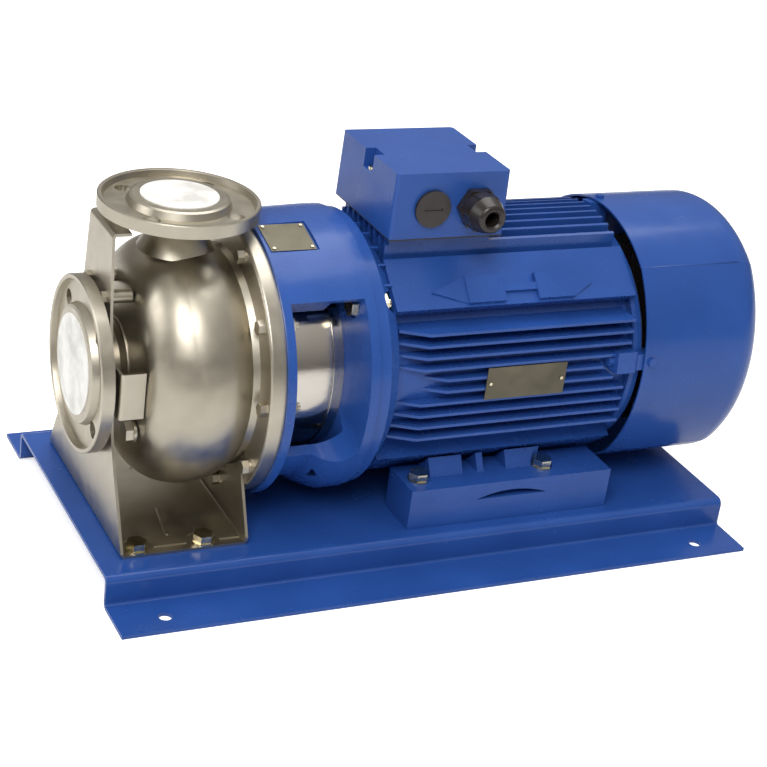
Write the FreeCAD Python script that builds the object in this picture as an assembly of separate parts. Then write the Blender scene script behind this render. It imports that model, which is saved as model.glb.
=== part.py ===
"""Close-coupled end-suction pump set: pressed steel casing, cast lantern, finned motor and folded base.

Lengths are in millimetres.  +X runs along the shaft from the pump to the fan, -Y is the side with the
cable gland, +Z is up.  The origin is the middle of the four anchor holes, on the floor.
Angles round the shaft start at the top and grow towards -Y.  Radii are measured from the shaft axis.
"""
import FreeCAD, Part
import math
import os

V = FreeCAD.Vector

# ---------------------------------------------------------------- clearances
seat = 0.05               # radial or face gap between pieces of one body
rest = 0.3                # gap between a piece and the seat it is held against
turning = 0.4             # running gap between the rotor and what stands still
bolt_play = 0.5           # radial play of a bolt in its clearance hole

# ---------------------------------------------------------------- base
base_length = 740.0
base_top_width = 318.0
base_overall_width = 430.0
base_height = 36.0
base_sheet = 4.0
base_bend = 8.0
anchor_spacing_x = 635.0
anchor_edge = 23.5
anchor_hole = 14.0
base_front_margin = 4.0
shaft_height = 160.0

# ---------------------------------------------------------------- main stations along the shaft
discharge_reach = 100.0
discharge_height = 180.0
casing_depth = 175.0
lantern_length = 100.0
shield_depth = 30.0
frame_length = 290.0
cowl_gap = 8.0
cowl_length = 162.0

# ---------------------------------------------------------------- nozzle flanges
suction_flange_dia = 185.0
suction_bolt_circle = 145.0
suction_hub_dia = 122.0
suction_pipe_dia = 76.0
discharge_flange_dia = 165.0
discharge_bolt_circle = 125.0
discharge_hub_dia = 102.0
discharge_pipe_dia = 54.0
flange_depth = 15.0
flange_lip = 5.0
flange_lip_drop = 1.5
flange_dish = 6.5
flange_hole = 18.0
flange_holes = 4
backing_ring_dia = 138.0
backing_ring_depth = 9.0
pipe_wall = 3.0
disc_thickness = 1.0
suction_disc_dia = 105.0
discharge_disc_dia = 80.0

# ---------------------------------------------------------------- casing
casing_sheet = 3.0
casing_nose = 44.0
casing_radius = 132.0
casing_crest = 104.0
casing_step_radius = 116.0
casing_step = 151.0
casing_flange_depth = 17.0
casing_bolt_step = 18.0
casing_rim_width = 13.0
casing_bolts_count = 10
first_bolt_angle = 18.0
casing_bolt_dia = 8.0
casing_bolt_head = 13.0
gasket_step = 9.0
gasket_width = 4.0
drain_radius = 82.0
drain_angle = 125.0
neck_flare = 7.6
discharge_flare = 13.0

# ---------------------------------------------------------------- casing foot
foot_sheet = 3.0
foot_bend = 5.0
foot_width = 256.0
foot_front = 20.0
foot_top_width = 72.0
foot_waist_width = 90.0
foot_waist = 235.0
foot_hip_width = 148.0
foot_hip = 106.0
foot_web_height = 90.0
foot_web_top_width = 196.0
foot_tab = 20.0
foot_ear_reach = 90.0
foot_ear_height = 50.0
foot_bolt_inset = 11.0
foot_bolt_dia = 12.0
foot_bolt_front = 20.0
foot_bolt_rear = 92.0
peg_dia = 14.0
peg_height = 85.0
peg_half_spacing = 27.0
bead_rise = 2.0
emboss_rise = 1.2

# ---------------------------------------------------------------- impeller, seal and shaft
impeller_radius = 84.0
impeller_eye_radius = 38.0
impeller_outlet = 12.0
impeller_shroud = 3.0
impeller_blades = 6
impeller_hub_radius = 20.0
pump_shaft_radius = 14.0
motor_shaft_radius = 19.0
sleeve_radius = 32.0
shaft_overlap = 72.0
cover_wall = 4.0
seal_radius = 23.0

# ---------------------------------------------------------------- lantern
lantern_rim_step = 4.0
lantern_ring_depth = 9.0
lantern_barrel_radius = 136.0
lantern_wall = 12.0
lantern_flange_radius = 153.5
lantern_flange_depth = 18.0
lantern_bolt_seat = 13.0
lantern_bell = 34.0
lantern_cone_rise = 0.15
window_top = 47.0
window_bottom = 119.0
window_corner = 7.0
window_bell_corner = 34.0
strut_rib = 6.0
guard_radius = 103.0
guard_room = 5.0
guard_sheet = 1.5
guard_gap = 42.0
flange_spigot_radius = 115.0
flange_bolt_radius = 132.5
flange_bolt_dia = 12.0
flange_bolt_angle = 47.0

# ---------------------------------------------------------------- motor
shield_flange_radius = 150.0
shield_flange_depth = 14.0
shield_shoulder_radius = 134.0
shoulder_fins = 9
core_radius = 100.0
frame_radius = 116.0
fan_shield_radius = 129.0
lug_angle = 83.0
panel_radius = 140.0
panel_from = 27.0
panel_to = 52.0
fin_reach = 128.0
fin_pitch = 13.5
fin_thickness = 3.2
fin_chamfer_x = 30.0
fin_chamfer_y = 16.0
side_fins = 10
top_fins = 9
top_fin_radius = 148.0
fin_lowest = -57.0
stator_length = 150.0
rotor_radius = 61.0
air_gap = 0.8
bearing_bore_radius = 20.0
drive_bearing_radius = 45.0
drive_bearing_width = 23.0
fan_bearing_radius = 40.0
fan_bearing_width = 18.0
balls = 8

# ---------------------------------------------------------------- motor feet and blocks
block_height = 28.0
motor_foot_start = 62.0
motor_foot_length = 249.0
motor_foot_outer = 140.0
motor_foot_inner = 84.0
motor_foot_plate = 19.0
motor_bolt_start = 80.0
motor_bolt_spacing_x = 154.0
motor_bolt_spacing_y = 232.0
motor_bolt_dia = 12.0
foot_arch_height = 8.0
foot_arch_length = 88.0

# ---------------------------------------------------------------- terminal box
box_start = 30.0
box_length = 134.0
box_width = 140.0
box_bottom = 149.0
box_height = 71.0
box_wall = 3.5
box_draft = 1.2
pocket_length = 22.0
pocket_depth = 13.0
pocket_drop = 20.0
gland_bore_radius = 8.0
gland_across = 40.0
gland_from_start = 96.0
plug_from_start = 45.0
plug_radius = 20.0
entry_height = 33.0
entry_radius = 15.0

# ---------------------------------------------------------------- fan and cowl
cowl_top_radius = 151.0
cowl_half_width = 140.0
cowl_crease_angle = 41.3
cowl_sheet = 2.0
cowl_corner = 34.0
grille_slot = 6.0
grille_pitch = 13.0
grille_rings = 6
fan_radius = 112.0
fan_hub_radius = 26.0
fan_width = 46.0
fan_blades = 7
fan_seat_radius = 16.0

# ---------------------------------------------------------------- plates
lantern_plate_start = 5.0
lantern_plate_length = 50.0
lantern_plate_width = 44.0
lantern_plate_angle = 15.0
motor_plate_start = 108.0
motor_plate_length = 97.0
motor_plate_height = 37.0
plate_thickness = 1.0
rivet_radius = 1.8

# ---------------------------------------------------------------- places that follow from the sizes
axis_z = base_height + shaft_height
anchor_spacing_y = base_overall_width - 2 * anchor_edge
suction_x = -base_length / 2 + base_front_margin
discharge_x = suction_x + discharge_reach
discharge_z = axis_z + discharge_height
casing_x1 = suction_x + casing_depth
casing_face_x = casing_x1 - casing_flange_depth
casing_bolt_radius = casing_step_radius + casing_bolt_step
casing_flange_radius = casing_bolt_radius + casing_rim_width
gasket_radius = casing_step_radius + gasket_step
lantern_ring_radius = casing_flange_radius + lantern_rim_step
foot_web_bolt = 180.0 - first_bolt_angle
motor_x = casing_x1 + lantern_length
frame_x0 = motor_x + shield_depth
frame_x1 = frame_x0 + frame_length
cowl_x0 = frame_x1 + cowl_gap
cowl_x1 = cowl_x0 + cowl_length
foot_x0 = suction_x + foot_front
foot_x1 = casing_face_x - rest
foot_length = foot_x1 - foot_x0
neck_radius = suction_pipe_dia / 2
discharge_neck_radius = discharge_pipe_dia / 2
box_x0 = motor_x + box_start
box_x1 = box_x0 + box_length
box_z0 = axis_z + box_bottom
box_z1 = box_z0 + box_height
drive_bearing_x = motor_x + shield_flange_depth + 4.0
fan_bearing_x = frame_x1 - fan_bearing_width - 2.0
sleeve_x0 = motor_x - shaft_overlap - 10.0
sleeve_x1 = motor_x - 12.0
impeller_front_x = discharge_x - impeller_outlet / 2
impeller_back_x = discharge_x + impeller_outlet / 2
cover_x = casing_face_x + casing_sheet + seat
plate_z = axis_z + fin_lowest + 4.45 * fin_pitch
AXIS = V(0, 0, axis_z)
ALONG = V(1, 0, 0)


# ---------------------------------------------------------------- shape helpers
def radial(radius, angle):
    """Point in the plane x = 0 at a radius and an angle round the shaft."""
    turn = math.radians(angle)
    return V(0, -radius * math.sin(turn), axis_z + radius * math.cos(turn))


def path(points):
    """Closed wire through points; a pair of points is an arc through the first to the second."""
    edges = []
    here = points[0]
    for step in list(points[1:]) + [points[0]]:
        if isinstance(step, (list, tuple)):
            edges.append(Part.Arc(here, step[0], step[1]).toShape())
            here = step[1]
        elif here.distanceToPoint(step) > 1e-6:
            edges.append(Part.makeLine(here, step))
            here = step
    return Part.Wire(edges)


def rounded(corners):
    """Closed wire through (point, radius) corners, each rounded by its radius."""
    points = []
    count = len(corners)
    for i, (corner, radius) in enumerate(corners):
        if radius <= 0:
            points.append(corner)
            continue
        back = (corners[i - 1][0] - corner).normalize()
        ahead = (corners[(i + 1) % count][0] - corner).normalize()
        half = back.getAngle(ahead) / 2
        reach = radius / math.tan(half)
        inward = (back + ahead).normalize()
        middle = corner + inward * (radius / math.sin(half) - radius)
        points.append(corner + back * reach)
        points.append((middle, corner + ahead * reach))
    return path(points)


def turned(profile, angle_from=0.0, angle_to=360.0):
    """Body turned round the shaft from (x, radius) points, over a span of angles; a pair is an arc."""
    def lift(point):
        if isinstance(point[0], (list, tuple)):
            return tuple(lift(p) for p in point)
        return V(point[0], 0, axis_z + point[1])
    face = Part.Face(path([lift(p) for p in profile]))
    face.rotate(AXIS, ALONG, angle_from)
    return face.revolve(AXIS, ALONG, angle_to - angle_from)


def ring(x0, x1, outer, inner=0.0):
    """Disc or ring round the shaft between two stations."""
    solid = Part.makeCylinder(outer, x1 - x0, V(x0, 0, axis_z), ALONG)
    if inner > 0:
        solid = solid.cut(Part.makeCylinder(inner, x1 - x0, V(x0, 0, axis_z), ALONG))
    return solid


def block(x0, x1, y0, y1, z0, z1):
    """Box between two corners."""
    return Part.makeBox(x1 - x0, y1 - y0, z1 - z0, V(x0, y0, z0))


def rod(radius, start, end):
    """Round bar between two points."""
    return Part.makeCylinder(radius, (end - start).Length, start, end - start)


def slab(points, depth):
    """Prism: a closed run of points pushed out along a vector."""
    return Part.Face(path(points)).extrude(depth)


def sector(x0, x1, outer, inner, angle_from, angle_to):
    """Part of a ring between two angles, for windows and curved plates."""
    middle = (angle_from + angle_to) / 2
    points = [radial(inner, angle_from), radial(outer, angle_from)]
    points.append((radial(outer, middle), radial(outer, angle_to)))
    points.append(radial(inner, angle_to))
    points.append((radial(inner, middle), radial(inner, angle_from)))
    solid = slab(points, V(x1 - x0, 0, 0))
    solid.translate(V(x0, 0, 0))
    return solid


def swung(shape, angle):
    """Copy turned round the shaft."""
    copy = shape.copy()
    copy.rotate(AXIS, ALONG, angle)
    return copy


def around(shape, angles):
    """Copies of a shape at several angles round the shaft."""
    return [swung(shape, angle) for angle in angles]


def mirrored(shape):
    """Copy on the other side of the plane y = 0."""
    return shape.mirror(V(0, 0, 0), V(0, 1, 0))


def both(shape):
    """A shape and its mirror image, as one list."""
    return [shape, mirrored(shape)]


def fused(shapes):
    """One solid from overlapping or touching shapes."""
    return shapes[0].multiFuse(shapes[1:]).removeSplitter()


def aimed(shape, point, direction):
    """Shape built along +Z from the origin, turned to a direction and set on a point."""
    copy = shape.copy()
    copy.Placement = FreeCAD.Placement(point, FreeCAD.Rotation(V(0, 0, 1), direction))
    return copy


def hexagon(across, height):
    """Hexagonal prism standing on the origin."""
    corner = across / math.sqrt(3)
    turns = [math.radians(60 * i) for i in range(6)]
    return slab([V(corner * math.cos(t), corner * math.sin(t), 0) for t in turns], V(0, 0, height))


def screw(dia, across, head, length, washer=0.0):
    """Hex screw: seat on the origin, head above it, shank below."""
    parts = [hexagon(across, head)]
    parts[0].translate(V(0, 0, washer))
    parts.append(Part.makeCylinder(dia / 2, length + washer, V(0, 0, -length)))
    if washer > 0:
        parts.append(Part.makeCylinder(across * 0.62, washer))
    return fused(parts)


def bolt_and_nut(dia, across, head, grip, washer):
    """Hex bolt from above and its nut below the grip, as two solids."""
    tail = grip + head + 4.0
    bolt = screw(dia, across, head, tail, washer)
    nut = hexagon(across, head)
    if washer > 0:
        nut = nut.fuse(Part.makeCylinder(across * 0.62, washer, V(0, 0, head)))
    nut = nut.cut(Part.makeCylinder(dia / 2 + seat, head + washer))
    nut.translate(V(0, 0, -grip - head - washer))
    return Part.makeCompound([bolt, nut])


# ---------------------------------------------------------------- base
def anchor_points():
    """Centres of the four anchor holes."""
    return [V(sx * anchor_spacing_x / 2, sy * anchor_spacing_y / 2, 0) for sx in (-1, 1) for sy in (-1, 1)]


def casing_foot_points():
    """Centres of the four casing foot bolts."""
    y = foot_width / 2 - foot_bolt_inset
    return [V(foot_x0 + dx, sy * y, base_height) for dx in (foot_bolt_front, foot_bolt_rear) for sy in (-1, 1)]


def motor_foot_points():
    """Centres of the four motor foot bolts."""
    x = motor_x + motor_bolt_start
    y = motor_bolt_spacing_y / 2
    return [V(x + dx, sy * y, base_height) for dx in (0, motor_bolt_spacing_x) for sy in (-1, 1)]


def base_plate():
    """Folded channel with flanges turned out along both long sides."""
    top, out, inner = base_top_width / 2, base_overall_width / 2, base_top_width / 2 - base_sheet
    bend = base_bend
    half = [(top, base_height, bend), (top, base_sheet, 3.0), (out, base_sheet, 0), (out, 0, 0)]
    half += [(inner, 0, bend), (inner, base_height - base_sheet, bend - base_sheet)]
    start = -base_length / 2
    near = [(V(start, -y, z), r) for y, z, r in half]
    far = [(V(start, y, z), r) for y, z, r in reversed(half)]
    solid = Part.Face(rounded(near + far)).extrude(V(base_length, 0, 0))
    cuts = [rod(anchor_hole / 2, p - V(0, 0, 1), p + V(0, 0, base_sheet + 1)) for p in anchor_points()]
    drop = V(0, 0, base_sheet + 1)
    for dia, points in ((foot_bolt_dia, casing_foot_points()), (motor_bolt_dia, motor_foot_points())):
        cuts += [rod(dia / 2 + bolt_play, p - drop, p + V(0, 0, 1)) for p in points]
    return solid.cut(Part.makeCompound(cuts))


def motor_block():
    """Steel bar under the near motor foot."""
    x0 = motor_x + motor_foot_start
    bar = block(x0, x0 + motor_foot_length, -motor_foot_outer, -motor_foot_inner,
                base_height, base_height + block_height)
    for point in motor_foot_points():
        bar = bar.cut(rod(motor_bolt_dia / 2 + bolt_play, point, point + V(0, 0, block_height)))
    return bar


# ---------------------------------------------------------------- casing foot
def foot_front_plate():
    """Tall front plate of the casing foot: wide at the floor, waisted, with two ears and a top tab."""
    z0 = base_height
    top = discharge_z - flange_depth - backing_ring_depth - rest
    x0, x1 = foot_x0, foot_x0 + foot_tab
    sheet, bend = foot_sheet, foot_bend
    middle = foot_x0 + foot_length / 2
    section = [(V(x0, 0, z0), bend), (V(x0, 0, top), bend), (V(x1, 0, top), 0), (V(x1, 0, top - sheet), 0)]
    section += [(V(x0 + sheet, 0, top - sheet), bend - sheet), (V(x0 + sheet, 0, z0 + sheet), bend - sheet)]
    section += [(V(middle, 0, z0 + sheet), 0), (V(middle, 0, z0), 0)]
    half = foot_width / 2
    sheet_run = Part.Face(rounded(section)).extrude(V(0, 2 * half, 0))
    sheet_run.translate(V(0, -half, 0))
    hip, waist, narrow = foot_hip_width / 2, foot_waist_width / 2, foot_top_width / 2
    side = [(half, 0, 0), (half, 5.0, 0), (hip, foot_hip, 160.0), (waist, foot_waist, 300.0)]
    side += [(narrow, top - z0 + 1, 0)]
    near = [(V(x0 - 1, -y, z0 + z), r) for y, z, r in side]
    far = [(V(x0 - 1, y, z0 + z), r) for y, z, r in reversed(side)]
    outline = Part.Face(rounded(near + far)).extrude(V(foot_length, 0, 0))
    plate = sheet_run.common(outline)
    return plate.cut(ring(x0 - 1, x0 + sheet + 1, neck_radius + 1.0))


def foot_ear():
    """Ear of the front plate, bent back to the casing on the near side."""
    z0, z1 = axis_z - foot_ear_height / 2 + 3.0, axis_z + foot_ear_height / 2 + 3.0
    outer = foot_ear_reach
    end = casing_station(outer) - rest
    inner = foot_hip_width / 2 - 30.0
    x0, sheet, bend = foot_x0, foot_sheet, foot_bend
    section = [(V(x0, -inner, z0), 0), (V(x0, -outer, z0), bend), (V(end, -outer, z0), 0)]
    section += [(V(end, sheet - outer, z0), 0), (V(x0 + sheet, sheet - outer, z0), bend - sheet)]
    section += [(V(x0 + sheet, -inner, z0), 0)]
    return Part.Face(rounded(section)).extrude(V(0, 0, z1 - z0))


def foot_rear():
    """Rear half of the foot floor with the short web that carries the casing flange."""
    z0, x1 = base_height, foot_x1
    top = z0 + foot_web_height
    sheet, bend = foot_sheet, foot_bend
    middle = foot_x0 + foot_length / 2
    section = [(V(middle, 0, z0), 0), (V(x1, 0, z0), bend), (V(x1, 0, top), 0), (V(x1 - sheet, 0, top), 0)]
    section += [(V(x1 - sheet, 0, z0 + sheet), bend - sheet), (V(middle, 0, z0 + sheet), 0)]
    half = foot_width / 2
    run = Part.Face(rounded(section)).extrude(V(0, 2 * half, 0))
    run.translate(V(0, -half, 0))
    top_half = foot_web_top_width / 2
    side = [(half, 0), (half, 8.0), (top_half, foot_web_height - 22.0), (top_half, foot_web_height)]
    near = [V(x1 - foot_length, -y, z0 + z) for y, z in side]
    far = [V(x1 - foot_length, y, z0 + z) for y, z in reversed(side)]
    run = run.common(slab(near + far, V(foot_length, 0, 0)))
    return run.cut(ring(x1 - 2 * sheet, x1 + 1, casing_step_radius + 5.0))


def foot_bead(x, y, length, angle):
    """Pressed stiffening bead standing on the foot floor."""
    z = base_height + foot_sheet
    bead = Part.makeCylinder(4.0, length, V(-length / 2, 0, 0), ALONG)
    bead = bead.fuse(Part.makeSphere(4.0, V(-length / 2, 0, 0))).fuse(Part.makeSphere(4.0, V(length / 2, 0, 0)))
    bead.rotate(V(0, 0, 0), V(0, 0, 1), angle)
    bead.translate(V(x, y, z + bead_rise - 4.0))
    return bead.common(block(x - length, x + length, y - length, y + length, z - 1, z + 10))


def foot_emboss():
    """Raised field of the foot floor, scalloped round the floor bolts."""
    z = base_height + foot_sheet
    half = foot_width / 2 - 0.6 * foot_bolt_inset - 4.0
    x0, x1 = foot_x0 + foot_bend + 1.0, foot_x1 - foot_bend - 1.0
    field = block(x0, x1, -half, half, z - 0.5, z + emboss_rise)
    return field.cut(Part.makeCompound([rod(18.0, p, p + V(0, 0, 20.0)) for p in casing_foot_points()]))


def casing_foot():
    """Bent sheet foot under the casing."""
    x = foot_x0 + 0.46 * foot_length
    parts = [foot_front_plate(), foot_rear(), foot_emboss()] + both(foot_ear())
    parts += both(foot_bead(x, -0.28 * foot_width, 52.0, 82.0))
    solid = fused(parts)
    holes = []
    for point in casing_foot_points():
        holes.append(rod(foot_bolt_dia / 2 + bolt_play, point, point + V(0, 0, foot_sheet + 1)))
    for side in (-1, 1):
        point = V(foot_x0 - 1, side * peg_half_spacing, axis_z + peg_height)
        holes.append(rod(4.0, point, point + V(foot_sheet + 2, 0, 0)))
    for angle in (foot_web_bolt, -foot_web_bolt):
        start = radial(casing_bolt_radius, angle) + V(foot_x1 - foot_sheet - 1, 0, 0)
        holes.append(rod(casing_bolt_dia / 2 + bolt_play, start, start + V(foot_sheet + 2, 0, 0)))
    return solid.cut(Part.makeCompound(holes))


def foot_spacer():
    """Round spacer between the front plate and the casing, with its screw and nut."""
    y, z = -peg_half_spacing, axis_z + peg_height
    radius = math.hypot(peg_half_spacing, peg_height) - peg_dia / 2
    end = casing_station(radius) - rest
    body = rod(peg_dia / 2, V(foot_x0 + foot_sheet, y, z), V(end, y, z))
    stud = rod(3.5, V(foot_x0 - 4.7, y, z), V(foot_x0 + foot_sheet + 4.0, y, z))
    nut = aimed(hexagon(11.0, 4.5), V(foot_x0, y, z), V(-1, 0, 0))
    return fused([body, stud, nut])


# ---------------------------------------------------------------- casing and flanges
def casing_outline(inset):
    """Casing profile from the neck to the flange face, moved inwards by an inset."""
    nose = suction_x + casing_nose + inset
    crest, step = suction_x + casing_crest, suction_x + casing_step
    radius = casing_radius - inset
    knee = radius - 24.0
    points = [(nose, neck_radius - inset + 8.0), (nose + 3.0, knee - 24.0)]
    points.append(((nose + 14.0, knee + 4.0), (crest - 16.0, radius - 2.0)))
    points.append(((crest + 12.0, radius), (step, casing_step_radius - inset)))
    return points


def casing_station(radius):
    """Where the front wall of the casing meets a radius, measured on its sloping part."""
    low, high = neck_radius + 8.0, casing_radius - 48.0
    share = min(max((radius - low) / (high - low), 0.0), 1.0)
    return suction_x + casing_nose + 3.0 * share


def casing():
    """Pressed shell: bulging volute with a turned-back bolting flange, open at both necks."""
    face, back, rim, sheet = casing_face_x, casing_x1 - rest, casing_flange_radius, casing_sheet
    outer = casing_outline(0)
    outer += [(face, casing_step_radius + 2.0), (face, rim - 3.0), ((face + 0.9, rim - 0.9), (face + 3.0, rim))]
    outer += [(back, rim), (back, rim - sheet), (face + sheet, rim - sheet)]
    outer += [(face + sheet, casing_step_radius - sheet + 1.0)]
    inner = casing_outline(sheet)
    last = inner[-1]
    before = inner[-2]
    back_run = [last[1], (last[0], before[1]), (before[0], inner[1]), inner[0]]
    shell = turned(outer + back_run)
    start = radial(casing_bolt_radius, first_bolt_angle) + V(face - 1, 0, 0)
    hole = rod(casing_bolt_dia / 2 + bolt_play, start, start + V(sheet + 2, 0, 0))
    plug_seat = radial(drain_radius, drain_angle) + V(suction_x + casing_nose - 4.0, 0, 0)
    crown = V(discharge_x, 0, axis_z + impeller_radius)
    cuts = around(hole, bolt_turns()) + [rod(6.0, plug_seat, plug_seat + V(14.0, 0, 0))]
    cuts.append(rod(discharge_neck_radius - pipe_wall, crown, crown + V(0, 0, casing_radius)))
    return shell.cut(Part.makeCompound(cuts)).removeSplitter()


def suction_neck():
    """Suction neck: short pipe that flares into the front wall of the casing."""
    x0, flare_x = suction_x + 4.0, suction_x + casing_nose - 6.0
    x1 = suction_x + casing_nose - rest
    radius, bore = neck_radius, neck_radius - pipe_wall
    points = [(x0, bore), (x0, radius), (flare_x, radius), (x1, radius + neck_flare)]
    points += [(x1, bore + neck_flare), (flare_x + 1.0, bore)]
    return turned(points)


def discharge_neck():
    """Discharge neck: pipe with a flared root that sits on the crown of the casing."""
    pipe, root = discharge_neck_radius, axis_z + casing_radius - 8.0
    top = V(discharge_x, 0, discharge_z - 4.0)
    flare = Part.makeCone(pipe + discharge_flare, pipe, 22.0, V(discharge_x, 0, root))
    foot = V(discharge_x, 0, root - 2.0)
    neck = rod(pipe, foot, top).fuse(flare).cut(rod(pipe - pipe_wall, foot - V(0, 0, 1), top))
    body = casing_outline(-rest)
    return neck.cut(turned([(body[0][0], 1.0)] + body + [(body[-1][1][0], 1.0)])).removeSplitter()


def bolt_turns():
    """Turns from the first casing bolt to each of them."""
    return [i * 360.0 / casing_bolts_count for i in range(casing_bolts_count)]


def nozzle_flange(dia, circle, hub, pipe):
    """Dished nozzle flange standing on the origin plane with its raised face at z = 0, body below."""
    r, depth = dia / 2, flange_depth
    drop, dish = -flange_lip_drop, -flange_lip_drop - flange_dish
    lip, hub_r = r - flange_lip, hub / 2
    bore = pipe / 2 - pipe_wall + 0.5
    socket = pipe / 2 + seat
    points = [(bore, 0), (hub_r - 3.0, 0), (hub_r, -1.2), (hub_r + 3.0, dish), (lip - 1.5, dish)]
    points += [(lip, drop - 0.8), (lip + 0.8, drop), (r - 1.0, drop), (r, drop - 1.0), (r, -depth)]
    points += [(socket, -depth), (socket, -4.0 + seat), (bore, -4.0 + seat)]
    body = Part.Face(path([V(x, 0, z) for x, z in points])).revolve(V(0, 0, 0), V(0, 0, 1), 360)
    holes = []
    for i in range(flange_holes):
        turn = math.radians(45 + i * 360.0 / flange_holes)
        x, y = circle / 2 * math.cos(turn), circle / 2 * math.sin(turn)
        holes.append(Part.makeCylinder(flange_hole / 2, depth + 2, V(x, y, -depth - 1)))
    return body.cut(Part.makeCompound(holes))


def suction_flange():
    """Suction flange on the front of the casing."""
    body = nozzle_flange(suction_flange_dia, suction_bolt_circle, suction_hub_dia, suction_pipe_dia)
    return aimed(body, V(suction_x, 0, axis_z), V(-1, 0, 0))


def discharge_flange():
    """Discharge flange on top, with a backing ring below it."""
    body = nozzle_flange(discharge_flange_dia, discharge_bolt_circle, discharge_hub_dia, discharge_pipe_dia)
    backing = Part.makeCylinder(discharge_bolt_circle / 2 - flange_hole / 2 - 1.5, backing_ring_depth,
                                V(0, 0, -flange_depth - backing_ring_depth))
    backing = backing.cut(Part.makeCylinder(discharge_pipe_dia / 2 + seat, backing_ring_depth,
                                            V(0, 0, -flange_depth - backing_ring_depth)))
    return aimed(body.fuse(backing).removeSplitter(), V(discharge_x, 0, discharge_z), V(0, 0, 1))


def suction_seal_disc():
    """Thin paper disc stuck over the suction bore."""
    return ring(suction_x - disc_thickness, suction_x, suction_disc_dia / 2)


def discharge_seal_disc():
    """Thin paper disc stuck over the discharge bore."""
    return Part.makeCylinder(discharge_disc_dia / 2, disc_thickness, V(discharge_x, 0, discharge_z))


def drain_plug():
    """Hex plug low on the front wall of the casing."""
    seat_point = radial(drain_radius, drain_angle) + V(casing_station(drain_radius - 12.0) - seat, 0, 0)
    return aimed(screw(11.8, 19.0, 8.0, casing_sheet + 4.0, 3.0), seat_point, V(-1, 0, 0))


def casing_bolts():
    """Ring of hex bolts that hold the casing to the lantern, with nuts inside the windows."""
    start = radial(casing_bolt_radius, 0.0) + V(casing_face_x, 0, 0)
    grip = casing_flange_depth + lantern_ring_depth
    head = casing_bolt_head
    blind = aimed(screw(casing_bolt_dia, head, 7.0, grip - 3.0, 1.5), start, V(-1, 0, 0))
    through = aimed(bolt_and_nut(casing_bolt_dia, head, 7.0, grip + seat, 0.0), start, V(-1, 0, 0))
    bolts = []
    for turn in bolt_turns():
        angle = turn + first_bolt_angle
        shown = window_top < min(angle, 360.0 - angle) < window_bottom - strut_rib
        bolt = swung(through if shown else blind, angle)
        if angle in (foot_web_bolt, 360.0 - foot_web_bolt):
            bolt.translate(V(-foot_sheet - rest, 0, 0))
        bolts.append(bolt)
    return bolts


# ---------------------------------------------------------------- wet end
def seal_cover():
    """Back plate: thick clamped ring, dished wall and housing for the stationary seal ring."""
    x0, x1 = cover_x, casing_x1 - seat
    rim = casing_flange_radius - casing_sheet - seat
    wall, bore = cover_wall, seal_radius + 5.0
    inner = casing_step_radius - casing_sheet - 4.0
    points = [(x0, rim), (x0, inner), (x0 - 14.0, inner - 10.0), (x0 - 14.0, bore + 6.0)]
    points += [(x0 - 18.0, bore + 4.0), (x0 - 18.0, seal_radius - 5.0), (x0 - 15.0, seal_radius - 5.0)]
    points += [(x0 - 15.0, bore - 1.0), (x0 + 6.0, bore - 1.0), (x0 + 6.0, bore + 3.0)]
    points += [(x0 - 14.0 + wall, bore + 6.0 + wall), (x0 - 14.0 + wall, inner - 10.0 - wall)]
    points += [(x0 + wall, inner - wall), (x1, inner - wall), (x1, rim)]
    body = turned(points)
    start = radial(casing_bolt_radius, first_bolt_angle) + V(x0 - 1, 0, 0)
    hole = rod(casing_bolt_dia / 2 + bolt_play, start, start + V(x1 - x0 + 2, 0, 0))
    low, high = gasket_radius - gasket_width / 2, gasket_radius + gasket_width / 2
    groove = turned([(x0 - 1, low), (x0 + 2.2, low), (x0 + 2.2, high), (x0 - 1, high)])
    return body.cut(Part.makeCompound(around(hole, bolt_turns()))).cut(groove)


def casing_gasket():
    """Square-section sealing ring in the groove of the back plate."""
    half = gasket_width / 2 - 2 * seat
    return ring(cover_x + 0.1, cover_x + 2.1, gasket_radius + half, gasket_radius - half)


def inlet_ring():
    """Inlet cone and wear ring carried by the suction neck."""
    x0 = suction_x + casing_nose - 16.0
    x1 = impeller_front_x - impeller_shroud - 12.0
    fit = neck_radius - pipe_wall - seat
    inner = impeller_eye_radius + turning
    points = [(x0, fit - 3.0), (x0, fit), (x0 + 14.0, fit), (x1 - 10.0, inner + 4.0), (x1 + 8.0, inner + 4.0)]
    points += [(x1 + 8.0, inner), (x1 - 4.0, inner), (x1 - 6.0, fit - 3.0), (x0 + 14.0, fit - 3.0)]
    return turned(points)


def impeller():
    """Closed impeller: eye ring, curved front shroud, back shroud, hub and swept blades."""
    front, back, wall = impeller_front_x, impeller_back_x, impeller_shroud
    eye, rim, hub = impeller_eye_radius, impeller_radius, impeller_hub_radius
    eye_x = front - wall - 14.0
    shroud = turned([(eye_x, eye - wall), (eye_x, eye), (front - wall - 4.0, eye),
                     ((front - wall - 1.0, eye + 8.0), (front - wall, rim - 20.0)), (front - wall, rim),
                     (front, rim), (front, rim - 20.0), ((front - 1.5, eye + 7.0), (front - 6.0, eye - wall))])
    plate = turned([(back, rim), (back + wall, rim), (back + wall, hub + 6.0), (back + 20.0, hub),
                    (back + 20.0, pump_shaft_radius - 2.0 + seat), (front - 4.0, pump_shaft_radius - 2.0 + seat),
                    (front - 4.0, hub - 2.0), ((back - 8.0, hub + 4.0), (back, hub + 22.0))])
    passage = turned([(front - 6.5, eye - wall), ((front - 2.0, eye + 7.0), (front - 0.5, rim - 20.0)),
                      (front - 0.5, rim), (back + 0.5, rim), (back + 0.5, hub + 21.0),
                      (back - 7.0, hub + 4.0), (front - 5.0, hub + 4.0)])
    blades = [swung(impeller_blade(), i * 360.0 / impeller_blades).common(passage)
              for i in range(impeller_blades)]
    return fused([shroud, plate] + blades)


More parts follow.
